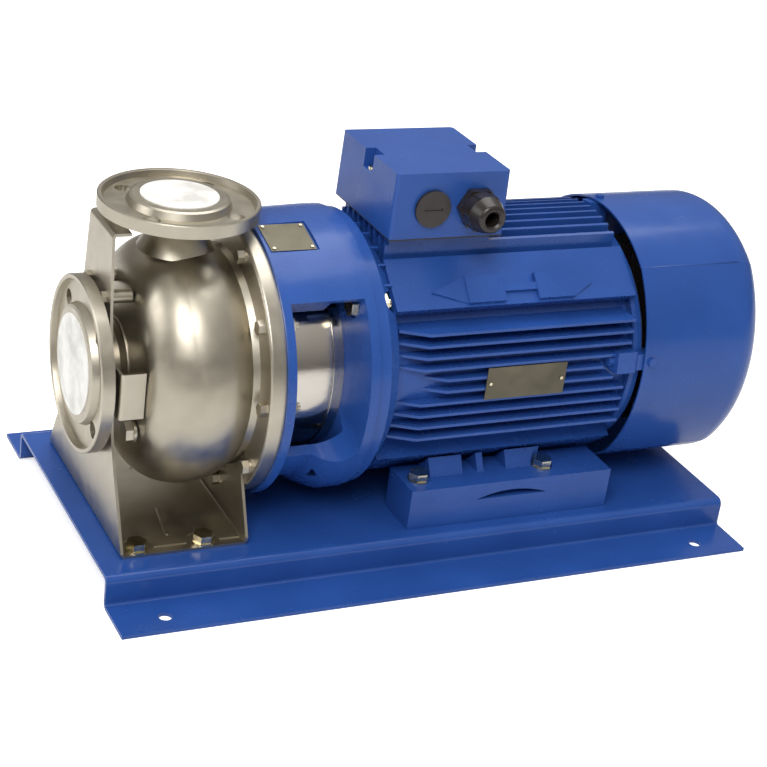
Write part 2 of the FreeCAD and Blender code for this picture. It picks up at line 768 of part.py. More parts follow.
def impeller_blade():
    """One backward-swept blade as a curved wall between two arcs."""
    rim, hub, wall = impeller_radius, impeller_hub_radius + 8.0, impeller_shroud
    middle = (rim + hub) / 2
    spread = math.degrees(wall / middle)
    points = [radial(hub, 0), (radial(middle, 26.0), radial(rim, 58.0))]
    points.append(radial(rim, 58.0 + spread))
    points.append((radial(middle, 26.0 + spread), radial(hub, spread)))
    blade = slab(points, V(impeller_outlet + 16.0, 0, 0))
    blade.translate(V(impeller_front_x - 10.0, 0, 0))
    return blade


def impeller_nut():
    """Nut and washer that hold the impeller on the shaft."""
    x = impeller_front_x - 4.0 - seat
    bore = pump_shaft_radius - 4.0 + seat
    washer = ring(x - 3.0, x, impeller_hub_radius - 3.0, bore)
    nut = aimed(hexagon(27.0, 14.0), V(x - 3.0, 0, axis_z), V(-1, 0, 0))
    return fused([washer, nut.cut(ring(x - 20.0, x, bore))])


def seal_seat_ring():
    """Stationary seal ring pressed in the back plate."""
    x0 = cover_x - 15.0 + seat
    return ring(x0, x0 + 9.0, seal_radius + 4.0 - seat, pump_shaft_radius + 2.0)


def seal_face_ring():
    """Turning seal ring that runs on the stationary one."""
    x0 = cover_x - 15.0 + 9.0 + 0.2
    return turned([(x0, pump_shaft_radius + seat), (x0, seal_radius - 3.0), (x0 + 6.0, seal_radius - 3.0),
                   (x0 + 6.0, seal_radius), (x0 + 12.0, seal_radius), (x0 + 12.0, pump_shaft_radius + seat)])


def seal_bellows():
    """Rubber bellows behind the turning ring."""
    x0 = cover_x - 15.0 + 9.0 + 0.2 + 12.0 + seat
    base_r, top_r = pump_shaft_radius + seat, seal_radius - 1.0
    points = [(x0, base_r), (x0, top_r)]
    for i in range(3):
        x = x0 + 2.0 + i * 4.0
        points += [(x, top_r), (x + 1.0, top_r - 3.0), (x + 2.0, top_r - 3.0), (x + 3.0, top_r)]
    points += [(x0 + 15.0, top_r), (x0 + 15.0, base_r)]
    return turned(points)


# ---------------------------------------------------------------- shaft line
def stub_shaft():
    """Pump shaft with a bored sleeve that slides on the motor shaft."""
    nut_x = impeller_front_x - 4.0 - 19.0
    small, seat_r, big = pump_shaft_radius - 4.0, pump_shaft_radius - 2.0, pump_shaft_radius
    step_x = impeller_front_x - 4.0
    shoulder_x = impeller_back_x + 20.0 + seat
    bore = motor_shaft_radius + seat
    points = [(nut_x, 0), (nut_x, small), (step_x, small), (step_x, seat_r), (shoulder_x, seat_r)]
    points += [(shoulder_x, big), (sleeve_x0 - 8.0, big), (sleeve_x0, sleeve_radius), (sleeve_x1, sleeve_radius)]
    points += [(sleeve_x1, bore), (motor_x - shaft_overlap, bore), (motor_x - shaft_overlap, 0)]
    body = turned(points)
    cuts = around(rod(4.0 + seat, sleeve_screw_point(0.0), sleeve_screw_point(sleeve_radius + 2)), (0, 90))
    return body.cut(Part.makeCompound(cuts))


def sleeve_screw_point(radius):
    """Point on the line of the sleeve's clamping screw."""
    return V((sleeve_x0 + sleeve_x1) / 2 + 8.0, 0, axis_z + radius)


def sleeve_screws():
    """Two set screws that clamp the sleeve on the motor shaft."""
    pin = rod(4.0, sleeve_screw_point(motor_shaft_radius + 0.2), sleeve_screw_point(sleeve_radius + 2.0))
    return around(pin, (0, 90))


def motor_shaft():
    """Motor shaft: drive end, bearing seats, rotor seat and fan seat."""
    de, seat_r = motor_shaft_radius, bearing_bore_radius - seat
    body_r = bearing_bore_radius + 5.0
    b0, b1 = drive_bearing_x, drive_bearing_x + drive_bearing_width
    n0, n1 = fan_bearing_x, fan_bearing_x + fan_bearing_width
    fan_end = fan_x0() + fan_width + 6.0
    points = [(motor_x - shaft_overlap + 1.0, 0), (motor_x - shaft_overlap + 1.0, de - 1.5)]
    points += [(motor_x - shaft_overlap + 2.5, de), (b0, de), (b0, seat_r), (b1 + seat, seat_r)]
    points += [(b1 + seat, body_r), (n0 - seat, body_r), (n0 - seat, seat_r), (n1, seat_r)]
    points += [(n1, fan_seat_radius), (fan_end, fan_seat_radius), (fan_end, 0)]
    return turned(points)


def rotor_core():
    """Laminated rotor with its end rings."""
    x0 = (frame_x0 + frame_x1 - stator_length) / 2
    x1 = x0 + stator_length
    bore = bearing_bore_radius + 5.0 + seat
    r = rotor_radius
    return turned([(x0, bore), (x0, r - 14.0), (x0 - 12.0, r - 14.0), (x0 - 12.0, r - 4.0), (x0, r - 4.0),
                   (x0, r), (x1, r), (x1, r - 4.0), (x1 + 12.0, r - 4.0), (x1 + 12.0, r - 14.0),
                   (x1, r - 14.0), (x1, bore)])


def bearing_rings(x0, width, outer):
    """Outer ring, inner ring and caged balls of a deep groove bearing."""
    inner = bearing_bore_radius
    middle = (outer + inner) / 2
    land = (outer - inner) / 4
    ball = min(land * 1.25, width / 2 - 3.0)
    centre = x0 + width / 2
    groove = Part.makeTorus(middle, ball + turning, V(centre, 0, axis_z), ALONG)
    outer_ring = ring(x0, x0 + width, outer - seat, middle + land * 0.5).cut(groove)
    inner_ring = ring(x0, x0 + width, middle - land * 0.5, inner).cut(groove)
    sphere = Part.makeSphere(ball, V(centre, 0, axis_z + middle))
    cage = ring(centre - ball * 0.45, centre + ball * 0.45, middle + 1.2, middle - 1.2)
    caged = fused([cage] + around(sphere, [i * 360.0 / balls for i in range(balls)]))
    return outer_ring, inner_ring, caged


# ---------------------------------------------------------------- lantern
def lantern():
    """Cast lantern: bolting ring, solid top strut, two windows and a bell that runs into the rear flange."""
    x0, x1 = casing_x1, motor_x
    ring_x, flange_x = x0 + lantern_ring_depth, x1 - lantern_flange_depth
    ring_r, flange_r, barrel = lantern_ring_radius, lantern_flange_radius, lantern_barrel_radius
    bore, inner = guard_radius + guard_room, barrel - lantern_wall
    bell_x = flange_x - lantern_bell
    points = [(x0, bore), (x0, ring_r), (ring_x, ring_r), (ring_x, barrel), (bell_x, barrel)]
    points.append(((flange_x - 0.7 * lantern_bell, barrel + 0.42 * (flange_r - barrel)),
                   (flange_x - 0.15 * lantern_bell, flange_r - 1.0)))
    points += [(flange_x + 2.0, flange_r), (x1, flange_r), (x1, flange_spigot_radius + seat)]
    points += [(x1 - 5.0, flange_spigot_radius + seat), (x1 - 5.0, guard_radius - 5.0)]
    points += [(flange_x, guard_radius - 5.0), (flange_x, inner), (ring_x, inner), (ring_x, bore)]
    strut = turned([(ring_x - 1, inner), (ring_x - 1, ring_r), (flange_x + 3.0, flange_r),
                    (flange_x + 3.0, inner)], -window_top, window_top)
    roof = ring_r - lantern_wall
    hollow = turned([(ring_x, bore), (ring_x, roof), (flange_x, roof), (flange_x, bore)],
                    strut_rib - window_top, window_top - strut_rib)
    cuts = [hollow] + both(lantern_window())
    hole = rod(casing_bolt_dia / 2 + seat, radial(casing_bolt_radius, first_bolt_angle) + V(x0 - 1, 0, 0),
               radial(casing_bolt_radius, first_bolt_angle) + V(ring_x + 1, 0, 0))
    cuts += around(hole, bolt_turns())
    start = radial(flange_bolt_radius, flange_bolt_angle)
    seat_x = x1 - lantern_bolt_seat
    pocket = rod(13.0, start + V(seat_x - 32.0, 0, 0), start + V(seat_x, 0, 0))
    through = rod(flange_bolt_dia / 2 + bolt_play, start + V(seat_x - 1, 0, 0), start + V(x1 + 1, 0, 0))
    cuts += around(fused([pocket, through]), flange_bolt_turns())
    land_x = x0 + lantern_plate_start - 2.0
    half = lantern_plate_width / 2 + 2.0
    cuts.append(swung(block(land_x, land_x + lantern_plate_length + 4.0, -half, half, lantern_land_z(),
                            axis_z + ring_r + 20.0), lantern_plate_angle))
    return turned(points).fuse(strut).cut(Part.makeCompound(cuts)).removeSplitter()


def lantern_window():
    """Near window as a cutter, conical towards the rear flange, swept wide at its lower rear corner."""
    x0, x1 = casing_x1 + lantern_ring_depth, motor_x - lantern_flange_depth
    low, high = guard_radius - 8.0, lantern_flange_radius + 20.0
    profile = [(x0, low), (x0, high), (x1 + lantern_cone_rise * (high - guard_radius), high)]
    profile.append((x1 + lantern_cone_rise * (low - guard_radius), low))
    cutter = turned(profile, window_top, window_bottom)
    middle = (low + high) / 2
    for x, angle, radius in ((x1, window_bottom, window_bell_corner), (x0, window_bottom, window_corner),
                             (x0, window_top, window_corner)):
        corner = radial(middle, angle) + V(x, 0, 0)
        nearest = min(cutter.Edges, key=lambda edge: (edge.CenterOfMass - corner).Length)
        cutter = cutter.makeFillet(radius, [nearest])
    return cutter


def lantern_land_z():
    """Height of the flat land for the rating plate, before it is swung to its angle."""
    half = lantern_plate_width / 2
    return axis_z + math.sqrt(lantern_ring_radius ** 2 - half ** 2) - 0.4


def flange_bolt_turns():
    """Turns from the first lantern bolt to each of the four."""
    side = flange_bolt_angle
    return [0, 180 - 2 * side, 180, 360 - 2 * side]


def lantern_bolts():
    """Four hex bolts through the lantern flange into the motor flange, each with a nut."""
    start = radial(flange_bolt_radius, flange_bolt_angle) + V(motor_x - lantern_bolt_seat, 0, 0)
    grip = lantern_bolt_seat + shield_flange_depth
    bolt = aimed(bolt_and_nut(flange_bolt_dia, 19.0, 7.5, grip, 0.0), start, V(-1, 0, 0))
    return around(bolt, flange_bolt_turns())


def shaft_guard():
    """Polished sheet guard round the shaft, open at the top, with a wider band at its rear end."""
    x0, x1 = casing_x1 + 6.0, motor_x - lantern_flange_depth - rest
    r, s = guard_radius, guard_sheet
    band = x1 - 12.0
    return turned([(x0, r - s), (x0, r), (band, r), ((band + 0.8, r + 1.4), (band + 1.6, r + 0.8)),
                   (x1, r + 0.8), (x1, r - s)], guard_gap, 360.0 - guard_gap)


def lantern_plate():
    """Bare rating plate on the flat land of the lantern."""
    x0 = casing_x1 + lantern_plate_start
    z = lantern_land_z()
    half = lantern_plate_width / 2
    return swung(block(x0, x0 + lantern_plate_length, -half, half, z, z + plate_thickness),
                 lantern_plate_angle)


def lantern_plate_rivets():
    """Rivet heads at the plate's corners."""
    x0 = casing_x1 + lantern_plate_start
    z = lantern_land_z() + plate_thickness
    half = lantern_plate_width / 2 - 4.0
    rivets = []
    for x in (x0 + 4.0, x0 + lantern_plate_length - 4.0):
        for y in (-half, half):
            rivets.append(swung(Part.makeCylinder(rivet_radius, 1.2, V(x, y, z)), lantern_plate_angle))
    return rivets


# ---------------------------------------------------------------- motor housing
def drive_end_shield():
    """Motor end shield with its mounting flange, bearing housing and small shoulder fins."""
    x0, x1 = motor_x, frame_x0
    flange_x = x0 + shield_flange_depth
    b0, b1 = drive_bearing_x, drive_bearing_x + drive_bearing_width
    house = drive_bearing_radius
    spigot = core_radius - seat
    points = [(x0, shield_flange_radius), (flange_x, shield_flange_radius), (flange_x + 2.0, shield_flange_radius - 5)]
    points += [(x1, shield_shoulder_radius), (x1, spigot), (x1 + 5.0, spigot), (x1 + 5.0, spigot - 7.0)]
    points += [(x1 - 4.0, spigot - 10.0), (b0 + 6.0, house + 18.0), (b1, house + 8.0), (b1, house)]
    points += [(b0 - seat, house), (b0 - seat, motor_shaft_radius + 14.0), (b0 - 8.0, motor_shaft_radius + 14.0)]
    points += [(b0 - 8.0, house + 6.0), (x0, flange_spigot_radius - 12.0), (x0 - 4.0, flange_spigot_radius - 12.0)]
    points += [(x0 - 4.0, flange_spigot_radius), (x0, flange_spigot_radius)]
    body = turned(points)
    fin = block(flange_x, x1 + 14.0, -1.2, 1.2, axis_z + shield_shoulder_radius - 6.0, axis_z + panel_radius + 1)
    angles = [-40.0 + 80.0 * i / (shoulder_fins - 1) for i in range(shoulder_fins)]
    fins = [f.common(ring(flange_x, x1 - seat, panel_radius + 1)) for f in around(fin, angles)]
    body = fused([body] + fins)
    start = radial(flange_bolt_radius, flange_bolt_angle)
    hole = rod(flange_bolt_dia / 2 + bolt_play, start + V(x0 - 1, 0, 0), start + V(flange_x, 0, 0))
    spot = rod(12.5, start + V(flange_x, 0, 0), start + V(flange_x + 14.0, 0, 0))
    return body.cut(Part.makeCompound(around(fused([hole, spot]), flange_bolt_turns())))


def side_fin(height, x0, x1):
    """Near-side cooling fin at a height over the shaft, with a chamfered front end."""
    z = axis_z + height
    inner = -math.sqrt((frame_radius - 6.0) ** 2 - height ** 2)
    tip = -fin_reach
    points = [V(x0, inner, z), V(x0, tip + fin_chamfer_y, z), V(x0 + fin_chamfer_x, tip, z), V(x1, tip, z)]
    points.append(V(x1, inner, z))
    fin = slab(points, V(0, 0, fin_thickness))
    fin.translate(V(0, 0, -fin_thickness / 2))
    return fin


def frame_fins():
    """Side fins on both sides and upright fins on top."""
    x0, x1 = frame_x0 + 4.0, frame_x1 - 6.0
    shapes = []
    for i in range(side_fins):
        height = fin_lowest + i * fin_pitch
        short = i in (side_fins // 2 - 1, side_fins // 2)
        start, end = (x0 + 28.0, x1 - 16.0) if short else (x0, x1)
        shapes += both(side_fin(height, start, end))
    envelope = ring(x0, x1, top_fin_radius)
    for i in range(top_fins):
        y = (i - (top_fins - 1) / 2) * fin_pitch
        fin = block(x0, x1, y - fin_thickness / 2, y + fin_thickness / 2, axis_z + 90.0, axis_z + top_fin_radius + 5)
        shapes.append(fin.common(envelope))
    return shapes


def frame_panel():
    """Smooth slanted panel between the top fins and the near side fins."""
    a, b, r, core = panel_from, panel_to, panel_radius, frame_radius - 8.0
    solid = slab([radial(core, a), radial(r, a), radial(r, b), radial(core, b)], V(frame_length, 0, 0))
    solid.translate(V(frame_x0, 0, 0))
    return solid


def frame_pads():
    """Two machined pads joined by a bar, on the smooth panel."""
    middle = (panel_from + panel_to) / 2 + 5.0
    face = panel_radius * math.cos(math.radians((panel_to - panel_from) / 2))
    z0, z1 = axis_z + face - 2.0, axis_z + face + 6.0
    first, second = frame_x0 + 84.0, frame_x0 + 168.0
    pads = []
    for x, side in ((first, -1), (second, 1)):
        pad = block(x, x + 44.0, -15.0, 15.0, z0, z1)
        tip = x - 40.0 if side < 0 else x + 44.0 + 26.0
        root = x if side < 0 else x + 44.0
        wedge = slab([V(root, -15.0, z0), V(root, 15.0, z0), V(tip, 0, z0)], V(0, 0, 5.0))
        pads += [pad, wedge]
    pads.append(block(first + 40.0, second + 4.0, -4.0, 4.0, z0, z1 - 1.0))
    return around(fused(pads), (middle,))


def frame_lugs():
    """Four lugs at the fan end that take the shield screws."""
    lug = block(frame_x1 - 24.0, frame_x1, -12.0, 12.0, axis_z + frame_radius - 10.0, axis_z + fin_reach + 8.0)
    return around(lug, lug_turns())


def lug_turns():
    """Angles of the four lugs that tie the frame, the rear shield and the cowl."""
    return [lug_angle - 90, lug_angle, lug_angle + 90, lug_angle + 180]


def motor_frame():
    """Finned motor frame with slanted panels, pads, lugs and the seat of the terminal box."""
    tube = ring(frame_x0, frame_x1, frame_radius, core_radius)
    upper = both(frame_panel())
    lower = [panel.mirror(AXIS, V(0, 0, 1)) for panel in upper]
    half = box_width / 2 - 14.0
    box_pad = block(box_x0 + 8.0, box_x1 - 8.0, -half, half, axis_z + frame_radius - 20.0, box_z0 - 2.2)
    solid = fused([tube, box_pad] + upper + lower + frame_fins() + frame_pads() + frame_lugs())
    opening = block(box_x0 + 36.0, box_x1 - 36.0, 38.0 - half, half - 38.0, axis_z + core_radius + 6.0, box_z0)
    above = block(box_x0 - 1, box_x1 + 1, -box_width / 2, box_width / 2, box_z0 - 2.2, box_z0 + 20.0)
    bore = ring(frame_x0 - 1, frame_x1 + 1, core_radius)
    start = V(frame_x1 - 25.0, 0, axis_z + fin_reach - 4.0)
    hole = rod(3.0 + seat, start, start + V(30.0, 0, 0))
    head = rod(7.5, start - V(12.0, 0, 0), start + V(1.0, 0, 0))
    return solid.cut(Part.makeCompound([opening, above, bore])).cut(
        Part.makeCompound(around(hole, lug_turns()) + around(head, lug_turns())))


def motor_foot():
    """Near motor foot: bolted plate with a low arch and two hollow-backed pedestals."""
    x0 = motor_x + motor_foot_start
    x1 = x0 + motor_foot_length
    z0 = base_height + block_height
    z1 = z0 + motor_foot_plate
    outer, inner = -motor_foot_outer, -motor_foot_inner
    plate = block(x0, x1, outer, inner, z0, z1)
    middle = (x0 + x1) / 2
    half = foot_arch_length / 2
    rise = foot_arch_height
    arch = slab([V(middle - half, outer - 1, z0), (V(middle, outer - 1, z0 + rise), V(middle + half, outer - 1, z0))],
                V(0, motor_foot_outer - motor_foot_inner + 2, 0))
    parts = [plate.cut(arch)]
    top = axis_z - 82.0
    for x, width in ((x0 + 34.0, 40.0), (x0 + 128.0, 44.0), (x0 + 92.0, 8.0)):
        section = [V(x, outer + 26.0, z1), V(x, inner, z1), V(x, inner, top), V(x, outer + 44.0, top)]
        parts.append(slab(section, V(width, 0, 0)))
    cover = block(x0 + 34.0, x0 + 172.0, outer + 38.0, inner, top - 12.0, top)
    body = fused(parts + [cover])
    body = body.cut(ring(x0 - 1, x1 + 1, panel_radius + rest)).cut(lower_frame_space())
    holes = []
    for point in motor_foot_points():
        holes.append(rod(motor_bolt_dia / 2 + bolt_play, point, point + V(0, 0, block_height + 40.0)))
        holes.append(rod(12.5, point + V(0, 0, block_height + motor_foot_plate),
                         point + V(0, 0, block_height + motor_foot_plate + 40.0)))
    return body.cut(Part.makeCompound(holes))


def lower_frame_space():
    """Room that the lowest side fins take above the foot."""
    z = axis_z + fin_lowest - fin_thickness / 2 - rest
    return block(frame_x0 - 40.0, frame_x1, -motor_foot_outer, motor_foot_outer, z, axis_z)


def fan_end_shield():
    """Rear end shield with its bearing housing and four screw lugs."""
    x0, x1 = frame_x1, frame_x1 + 16.0
    n0, n1 = fan_bearing_x, fan_bearing_x + fan_bearing_width
    house, spigot = fan_bearing_radius, core_radius - seat
    rim = fan_shield_radius
    points = [(x0 + seat, rim - 3.0), (x0 + 3.0, rim), (x1 - 7.0, rim), (x1, rim - 9.0)]
    points += [(x1, house + 18.0), (x1 + 6.0, house + 10.0), (x1 + 6.0, fan_seat_radius + 10.0)]
    points += [(n1 + seat, fan_seat_radius + 10.0), (n1 + seat, house), (n0 - 4.0, house), (n0 - 4.0, house + 8.0)]
    points += [(x0 + 4.0, house + 16.0), (x0 + 8.0, spigot - 14.0), (x0 - 5.0, spigot - 7.0)]
    points += [(x0 - 5.0, spigot), (x0 + seat, spigot)]
    body = turned(points)
    lugs = []
    cross = []
    for angle in lug_turns():
        top = axis_z + cowl_reach(angle) - cowl_sheet - 1.2
        lugs.append(swung(block(x0 + seat, x1 + 6.0, -9.0, 9.0, axis_z + frame_radius - 16.0, top), angle))
        start = V(cowl_x0 + 9.0, 0, axis_z + fin_reach - 2.0)
        cross.append(swung(rod(2.5 + seat, start, V(start.x, 0, top + 1)), angle))
    body = fused([body] + lugs)
    start = V(x0 - 1, 0, axis_z + fin_reach - 4.0)
    axial = around(rod(3.0 + seat, start, start + V(12.0, 0, 0)), lug_turns())
    return body.cut(Part.makeCompound(axial + cross))


def shield_screws():
    """Hex screws in the frame lugs that hold the rear shield."""
    start = V(frame_x1 - 24.0, 0, axis_z + fin_reach - 4.0)
    return around(aimed(screw(6.0, 10.0, 5.0, 34.0, 1.2), start, V(-1, 0, 0)), lug_turns())


def stator_core():
    """Stator stack pressed in the frame."""
    x0 = (frame_x0 + frame_x1 - stator_length) / 2
    return ring(x0, x0 + stator_length, core_radius - seat, rotor_radius + air_gap)


def windings():
    """End turns at both ends of the stator."""
    x0 = (frame_x0 + frame_x1 - stator_length) / 2
    x1 = x0 + stator_length
    inner, outer = rotor_radius + 6.0, core_radius - 8.0
    front = turned([(x0 - seat, inner), (x0 - 24.0, inner + 2.0), (x0 - 30.0, inner + 8.0),
                    (x0 - 30.0, outer - 8.0), (x0 - 24.0, outer - 2.0), (x0 - seat, outer)])
    rear = turned([(x1 + seat, inner), (x1 + 24.0, inner + 2.0), (x1 + 30.0, inner + 8.0),
                   (x1 + 30.0, outer - 8.0), (x1 + 24.0, outer - 2.0), (x1 + seat, outer)])
    return [front, rear]


def wave_spring():
    """Thin preload ring against the fan-end bearing."""
    x1 = fan_bearing_x - seat
    return ring(x1 - 2.0, x1, fan_bearing_radius - 1.0, fan_bearing_radius - 6.0)


def shaft_seal():
    """Lip seal where the shaft leaves the drive end shield."""
    x1 = drive_bearing_x - seat - 0.2
    return ring(x1 - 7.5, x1, motor_shaft_radius + 14.0 - seat, motor_shaft_radius + turning)


# ---------------------------------------------------------------- fan and cowl
def fan_x0():
    """Front face of the fan."""
    return frame_x1 + 16.0 + 6.0 + 14.0


def cooling_fan():
    """Fan with a hub, a back disc and straight radial blades."""
    x0 = fan_x0()
    hub = ring(x0, x0 + fan_width, fan_hub_radius, fan_seat_radius + seat)
    disc = ring(x0, x0 + 3.0, fan_radius - 6.0, fan_seat_radius + seat)
    blade = slab([V(x0, -1.5, axis_z + fan_hub_radius - 2), V(x0, -1.5, axis_z + fan_radius),
                  V(x0 + fan_width - 14.0, -1.5, axis_z + fan_radius),
                  V(x0 + fan_width, -1.5, axis_z + fan_radius - 34.0),
                  V(x0 + fan_width, -1.5, axis_z + fan_hub_radius - 2)], V(0, 3.0, 0))
    return fused([hub, disc] + around(blade, [i * 360.0 / fan_blades for i in range(fan_blades)]))


def cowl_section(inset):
    """Closed outline of the cowl across the shaft: two round ends and two flatter creased sides."""
    top = cowl_top_radius - inset
    crease = cowl_crease_angle
    side = cowl_half_width - inset
    start = radial(top, -crease)
    return path([start, (radial(top, 0), radial(top, crease)), (V(0, -side, axis_z), radial(top, 180 - crease)),
                 (radial(top, 180), radial(top, 180 + crease)), (V(0, side, axis_z), start)])


def cowl_form(inset):
    """Cowl block with its rear edge rounded in steps of the same outline, moved inwards by an inset."""
    corner = cowl_corner - inset
    end = cowl_x1 - inset
    straight = end - corner
    section = cowl_section(inset)
    section.translate(V(cowl_x0, 0, 0))
    body = Part.Face(section).extrude(V(straight - cowl_x0, 0, 0))
    rings = []
    for turn in (0.0, 30.0, 60.0, 90.0):
        angle = math.radians(turn)
        wire = cowl_section(inset + corner * (1 - math.cos(angle)))
        wire.translate(V(straight + corner * math.sin(angle), 0, 0))
        rings.append(wire)
    return body.fuse(Part.makeLoft(rings, True, False)).removeSplitter()


def cowl_grille():
    """Ring-shaped air slots in the rear face, broken by four spokes."""
    x0, x1 = cowl_x1 - cowl_sheet - 1, cowl_x1 + 1
    slots = []
    for i in range(grille_rings):
        inner = 18.0 + i * grille_pitch
        slots.append(ring(x0, x1, inner + grille_slot, inner))
    spoke = block(x0 - 1, x1 + 1, -4.0, 4.0, axis_z, axis_z + cowl_top_radius)
    return Part.makeCompound(slots).cut(Part.makeCompound(around(spoke, (45, 135, 225, 315))))


def fan_cowl():
    """Pressed fan cowl: creased sides, rounded rear edge, open front and slotted rear face."""
    hollow = cowl_form(cowl_sheet)
    shell = cowl_form(0).cut(hollow).cut(block(cowl_x0 - 1, cowl_x0 + 0.01, -200, 200, 0, 2 * axis_z))
    shell = shell.cut(cowl_grille())
    start = V(cowl_x0 + 9.0, 0, axis_z + fin_reach)
    hole = rod(2.5 + bolt_play, start, start + V(0, 0, cowl_top_radius))
    return shell.cut(Part.makeCompound(around(hole, lug_turns())))


def cowl_screws():
    """Four pan-head screws through the cowl into the rear shield."""
    screws = []
    for angle in lug_turns():
        reach = cowl_reach(angle)
        head = Part.makeCylinder(5.0, 3.0).fuse(Part.makeCylinder(2.5, reach - fin_reach, V(0, 0, fin_reach - reach)))
        screws.append(swung(aimed(head, V(cowl_x0 + 9.0, 0, axis_z + reach + rest), V(0, 0, 1)), angle))
    return screws


def cowl_reach(angle):
    """Distance from the shaft axis to the cowl's outside, at an angle round the shaft."""
    lean = math.radians(angle)
    crease = math.radians(cowl_crease_angle)
    if abs(math.cos(lean)) > math.cos(crease):
        return cowl_top_radius
    y, z = cowl_top_radius * math.sin(crease), cowl_top_radius * math.cos(crease)
    side = cowl_half_width
    centre = (y * y + z * z - side * side) / (2 * (y - side))
    across = centre * abs(math.sin(lean))
    return across + math.sqrt(across ** 2 + (side - centre) ** 2 - centre ** 2)


# ---------------------------------------------------------------- terminal box
def box_form(inset, z0, z1):
    """Box with a slight draft, moved inwards by an inset."""
    rings = []
    for z, draft in ((z0, 0.0), (z1, box_draft)):
        d = inset + draft
        x0, x1, y = box_x0 + d, box_x1 - d, box_width / 2 - d
        corners = [V(x0, -y, z), V(x1, -y, z), V(x1, y, z), V(x0, y, z)]
        radius = max(4.0 - inset, 0.6)
        rings.append(rounded([(corner, radius) for corner in corners]))
    return Part.makeLoft(rings, True, True)


def box_pockets(grow):
    """Two screw pockets in the middle of the short top edges."""
    half = pocket_length / 2 + grow
    z = box_z1 - pocket_drop - grow
    left = block(box_x0 - 5, box_x0 + pocket_depth + grow, -half, half, z, box_z1 + 5)
    right = block(box_x1 - pocket_depth - grow, box_x1 + 5, -half, half, z, box_z1 + 5)
    return [left, right]


def terminal_box():
    """Terminal box hood: drafted walls, screw pockets and two cable entries."""
    outer = box_form(0.0, box_z0, box_z1).cut(Part.makeCompound(box_pockets(0.0)))
    inner = box_form(box_wall, box_z0 - 1, box_z1 - box_wall).cut(Part.makeCompound(box_pockets(box_wall)))
    columns = []
    for x in (box_x0 + pocket_depth / 2, box_x1 - pocket_depth / 2):
        columns.append(rod(pocket_depth / 2 + 1.0, V(x, 0, box_z0), V(x, 0, box_z1 - pocket_drop - 1)))
    body = outer.cut(inner).fuse(Part.makeCompound(columns).common(box_form(0.5, box_z0, box_z1)))
    cuts = []
    for x in (box_x0 + pocket_depth / 2, box_x1 - pocket_depth / 2):
        cuts.append(rod(2.5 + seat, V(x, 0, box_z0 - 1), V(x, 0, box_z1)))
    for offset in (gland_from_start, plug_from_start):
        point = V(box_x0 + offset, -box_width / 2 - 1, box_z0 + entry_height)
        cuts.append(rod(entry_radius + seat, point, point + V(0, 3 * box_wall, 0)))
    return body.cut(Part.makeCompound(cuts)).removeSplitter()


def terminal_gasket():
    """Flat gasket between the hood and the frame's pad."""
    z0 = box_z0 - 2.0
    half = box_width / 2
    outer = block(box_x0 + 1.0, box_x1 - 1.0, 1.0 - half, half - 1.0, z0, box_z0 - seat)
    return outer.cut(block(box_x0 + 24.0, box_x1 - 24.0, 38.0 - half, half - 38.0, z0 - 1, box_z0))


def box_screws():
    """Two screws in the pockets of the hood."""
    screws = []
    for x in (box_x0 + pocket_depth / 2, box_x1 - pocket_depth / 2):
        head = Part.makeCylinder(4.5, 3.5).fuse(Part.makeCylinder(2.5, box_height - pocket_drop - 1.0,
                                                                   V(0, 0, pocket_drop + 1.0 - box_height)))
        screws.append(aimed(head, V(x, 0, box_z1 - pocket_drop + seat), V(0, 0, 1)))
    return screws


def terminal_board():
    """Moulded terminal board inside the hood."""
    x = (box_x0 + box_x1) / 2
    board = block(x - 34.0, x + 34.0, -21.0, 21.0, box_z0 - 2.1, box_z0 + 6.0)
    walls = [block(x + dx - 1.0, x + dx + 1.0, -21.0, 21.0, box_z0, box_z0 + 14.0) for dx in (-12.0, 12.0)]
    return fused([board] + walls)


def terminal_studs():
    """Six brass studs with nuts on the terminal board."""
    x = (box_x0 + box_x1) / 2
    stud = fused([hexagon(8.0, 4.0), Part.makeCylinder(2.5, 14.0)])
    studs = []
    for dx in (-24.0, 0.0, 24.0):
        for y in (-11.0, 11.0):
            copy = stud.copy()
            copy.translate(V(x + dx, y, box_z0 + 6.0 + seat))
            studs.append(copy)
    return studs


def gland_body():
    """Cable gland body: spigot through the wall, hex flange and neck."""
    point = V(box_x0 + gland_from_start, -box_width / 2 - seat, box_z0 + entry_height)
    spigot = Part.makeCylinder(entry_radius, box_wall + 6.0, V(0, 0, -box_wall - 6.0))
    neck = Part.makeCylinder(15.0, 14.0, V(0, 0, 9.0))
    body = fused([spigot, hexagon(gland_across, 9.0), neck])
    body = body.cut(Part.makeCylinder(gland_bore_radius, box_wall + 40.0, V(0, 0, -box_wall - 8.0)))
    return aimed(body, point, V(0, -1, 0))


def gland_nut():
    """Domed gland nut with its cable bore."""
    point = V(box_x0 + gland_from_start, -box_width / 2 - seat, box_z0 + entry_height)
    profile = [V(15.0 + seat, 0, 9.5), V(20.0, 0, 9.5), V(20.0, 0, 24.0), V(19.0, 0, 27.0), V(16.0, 0, 36.0)]
    profile += [(V(14.0, 0, 39.0), V(gland_bore_radius + 2.0, 0, 40.0)), V(gland_bore_radius, 0, 38.0)]
    profile += [V(gland_bore_radius, 0, 23.5), V(15.0 + seat, 0, 23.5)]
    dome = Part.Face(path(profile)).revolve(V(0, 0, 0), V(0, 0, 1), 360)
    grip = hexagon(gland_across - 3.0, 14.0).cut(Part.makeCylinder(18.0, 14.0))
    grip.translate(V(0, 0, 10.0))
    return aimed(fused([dome, grip]), point, V(0, -1, 0))


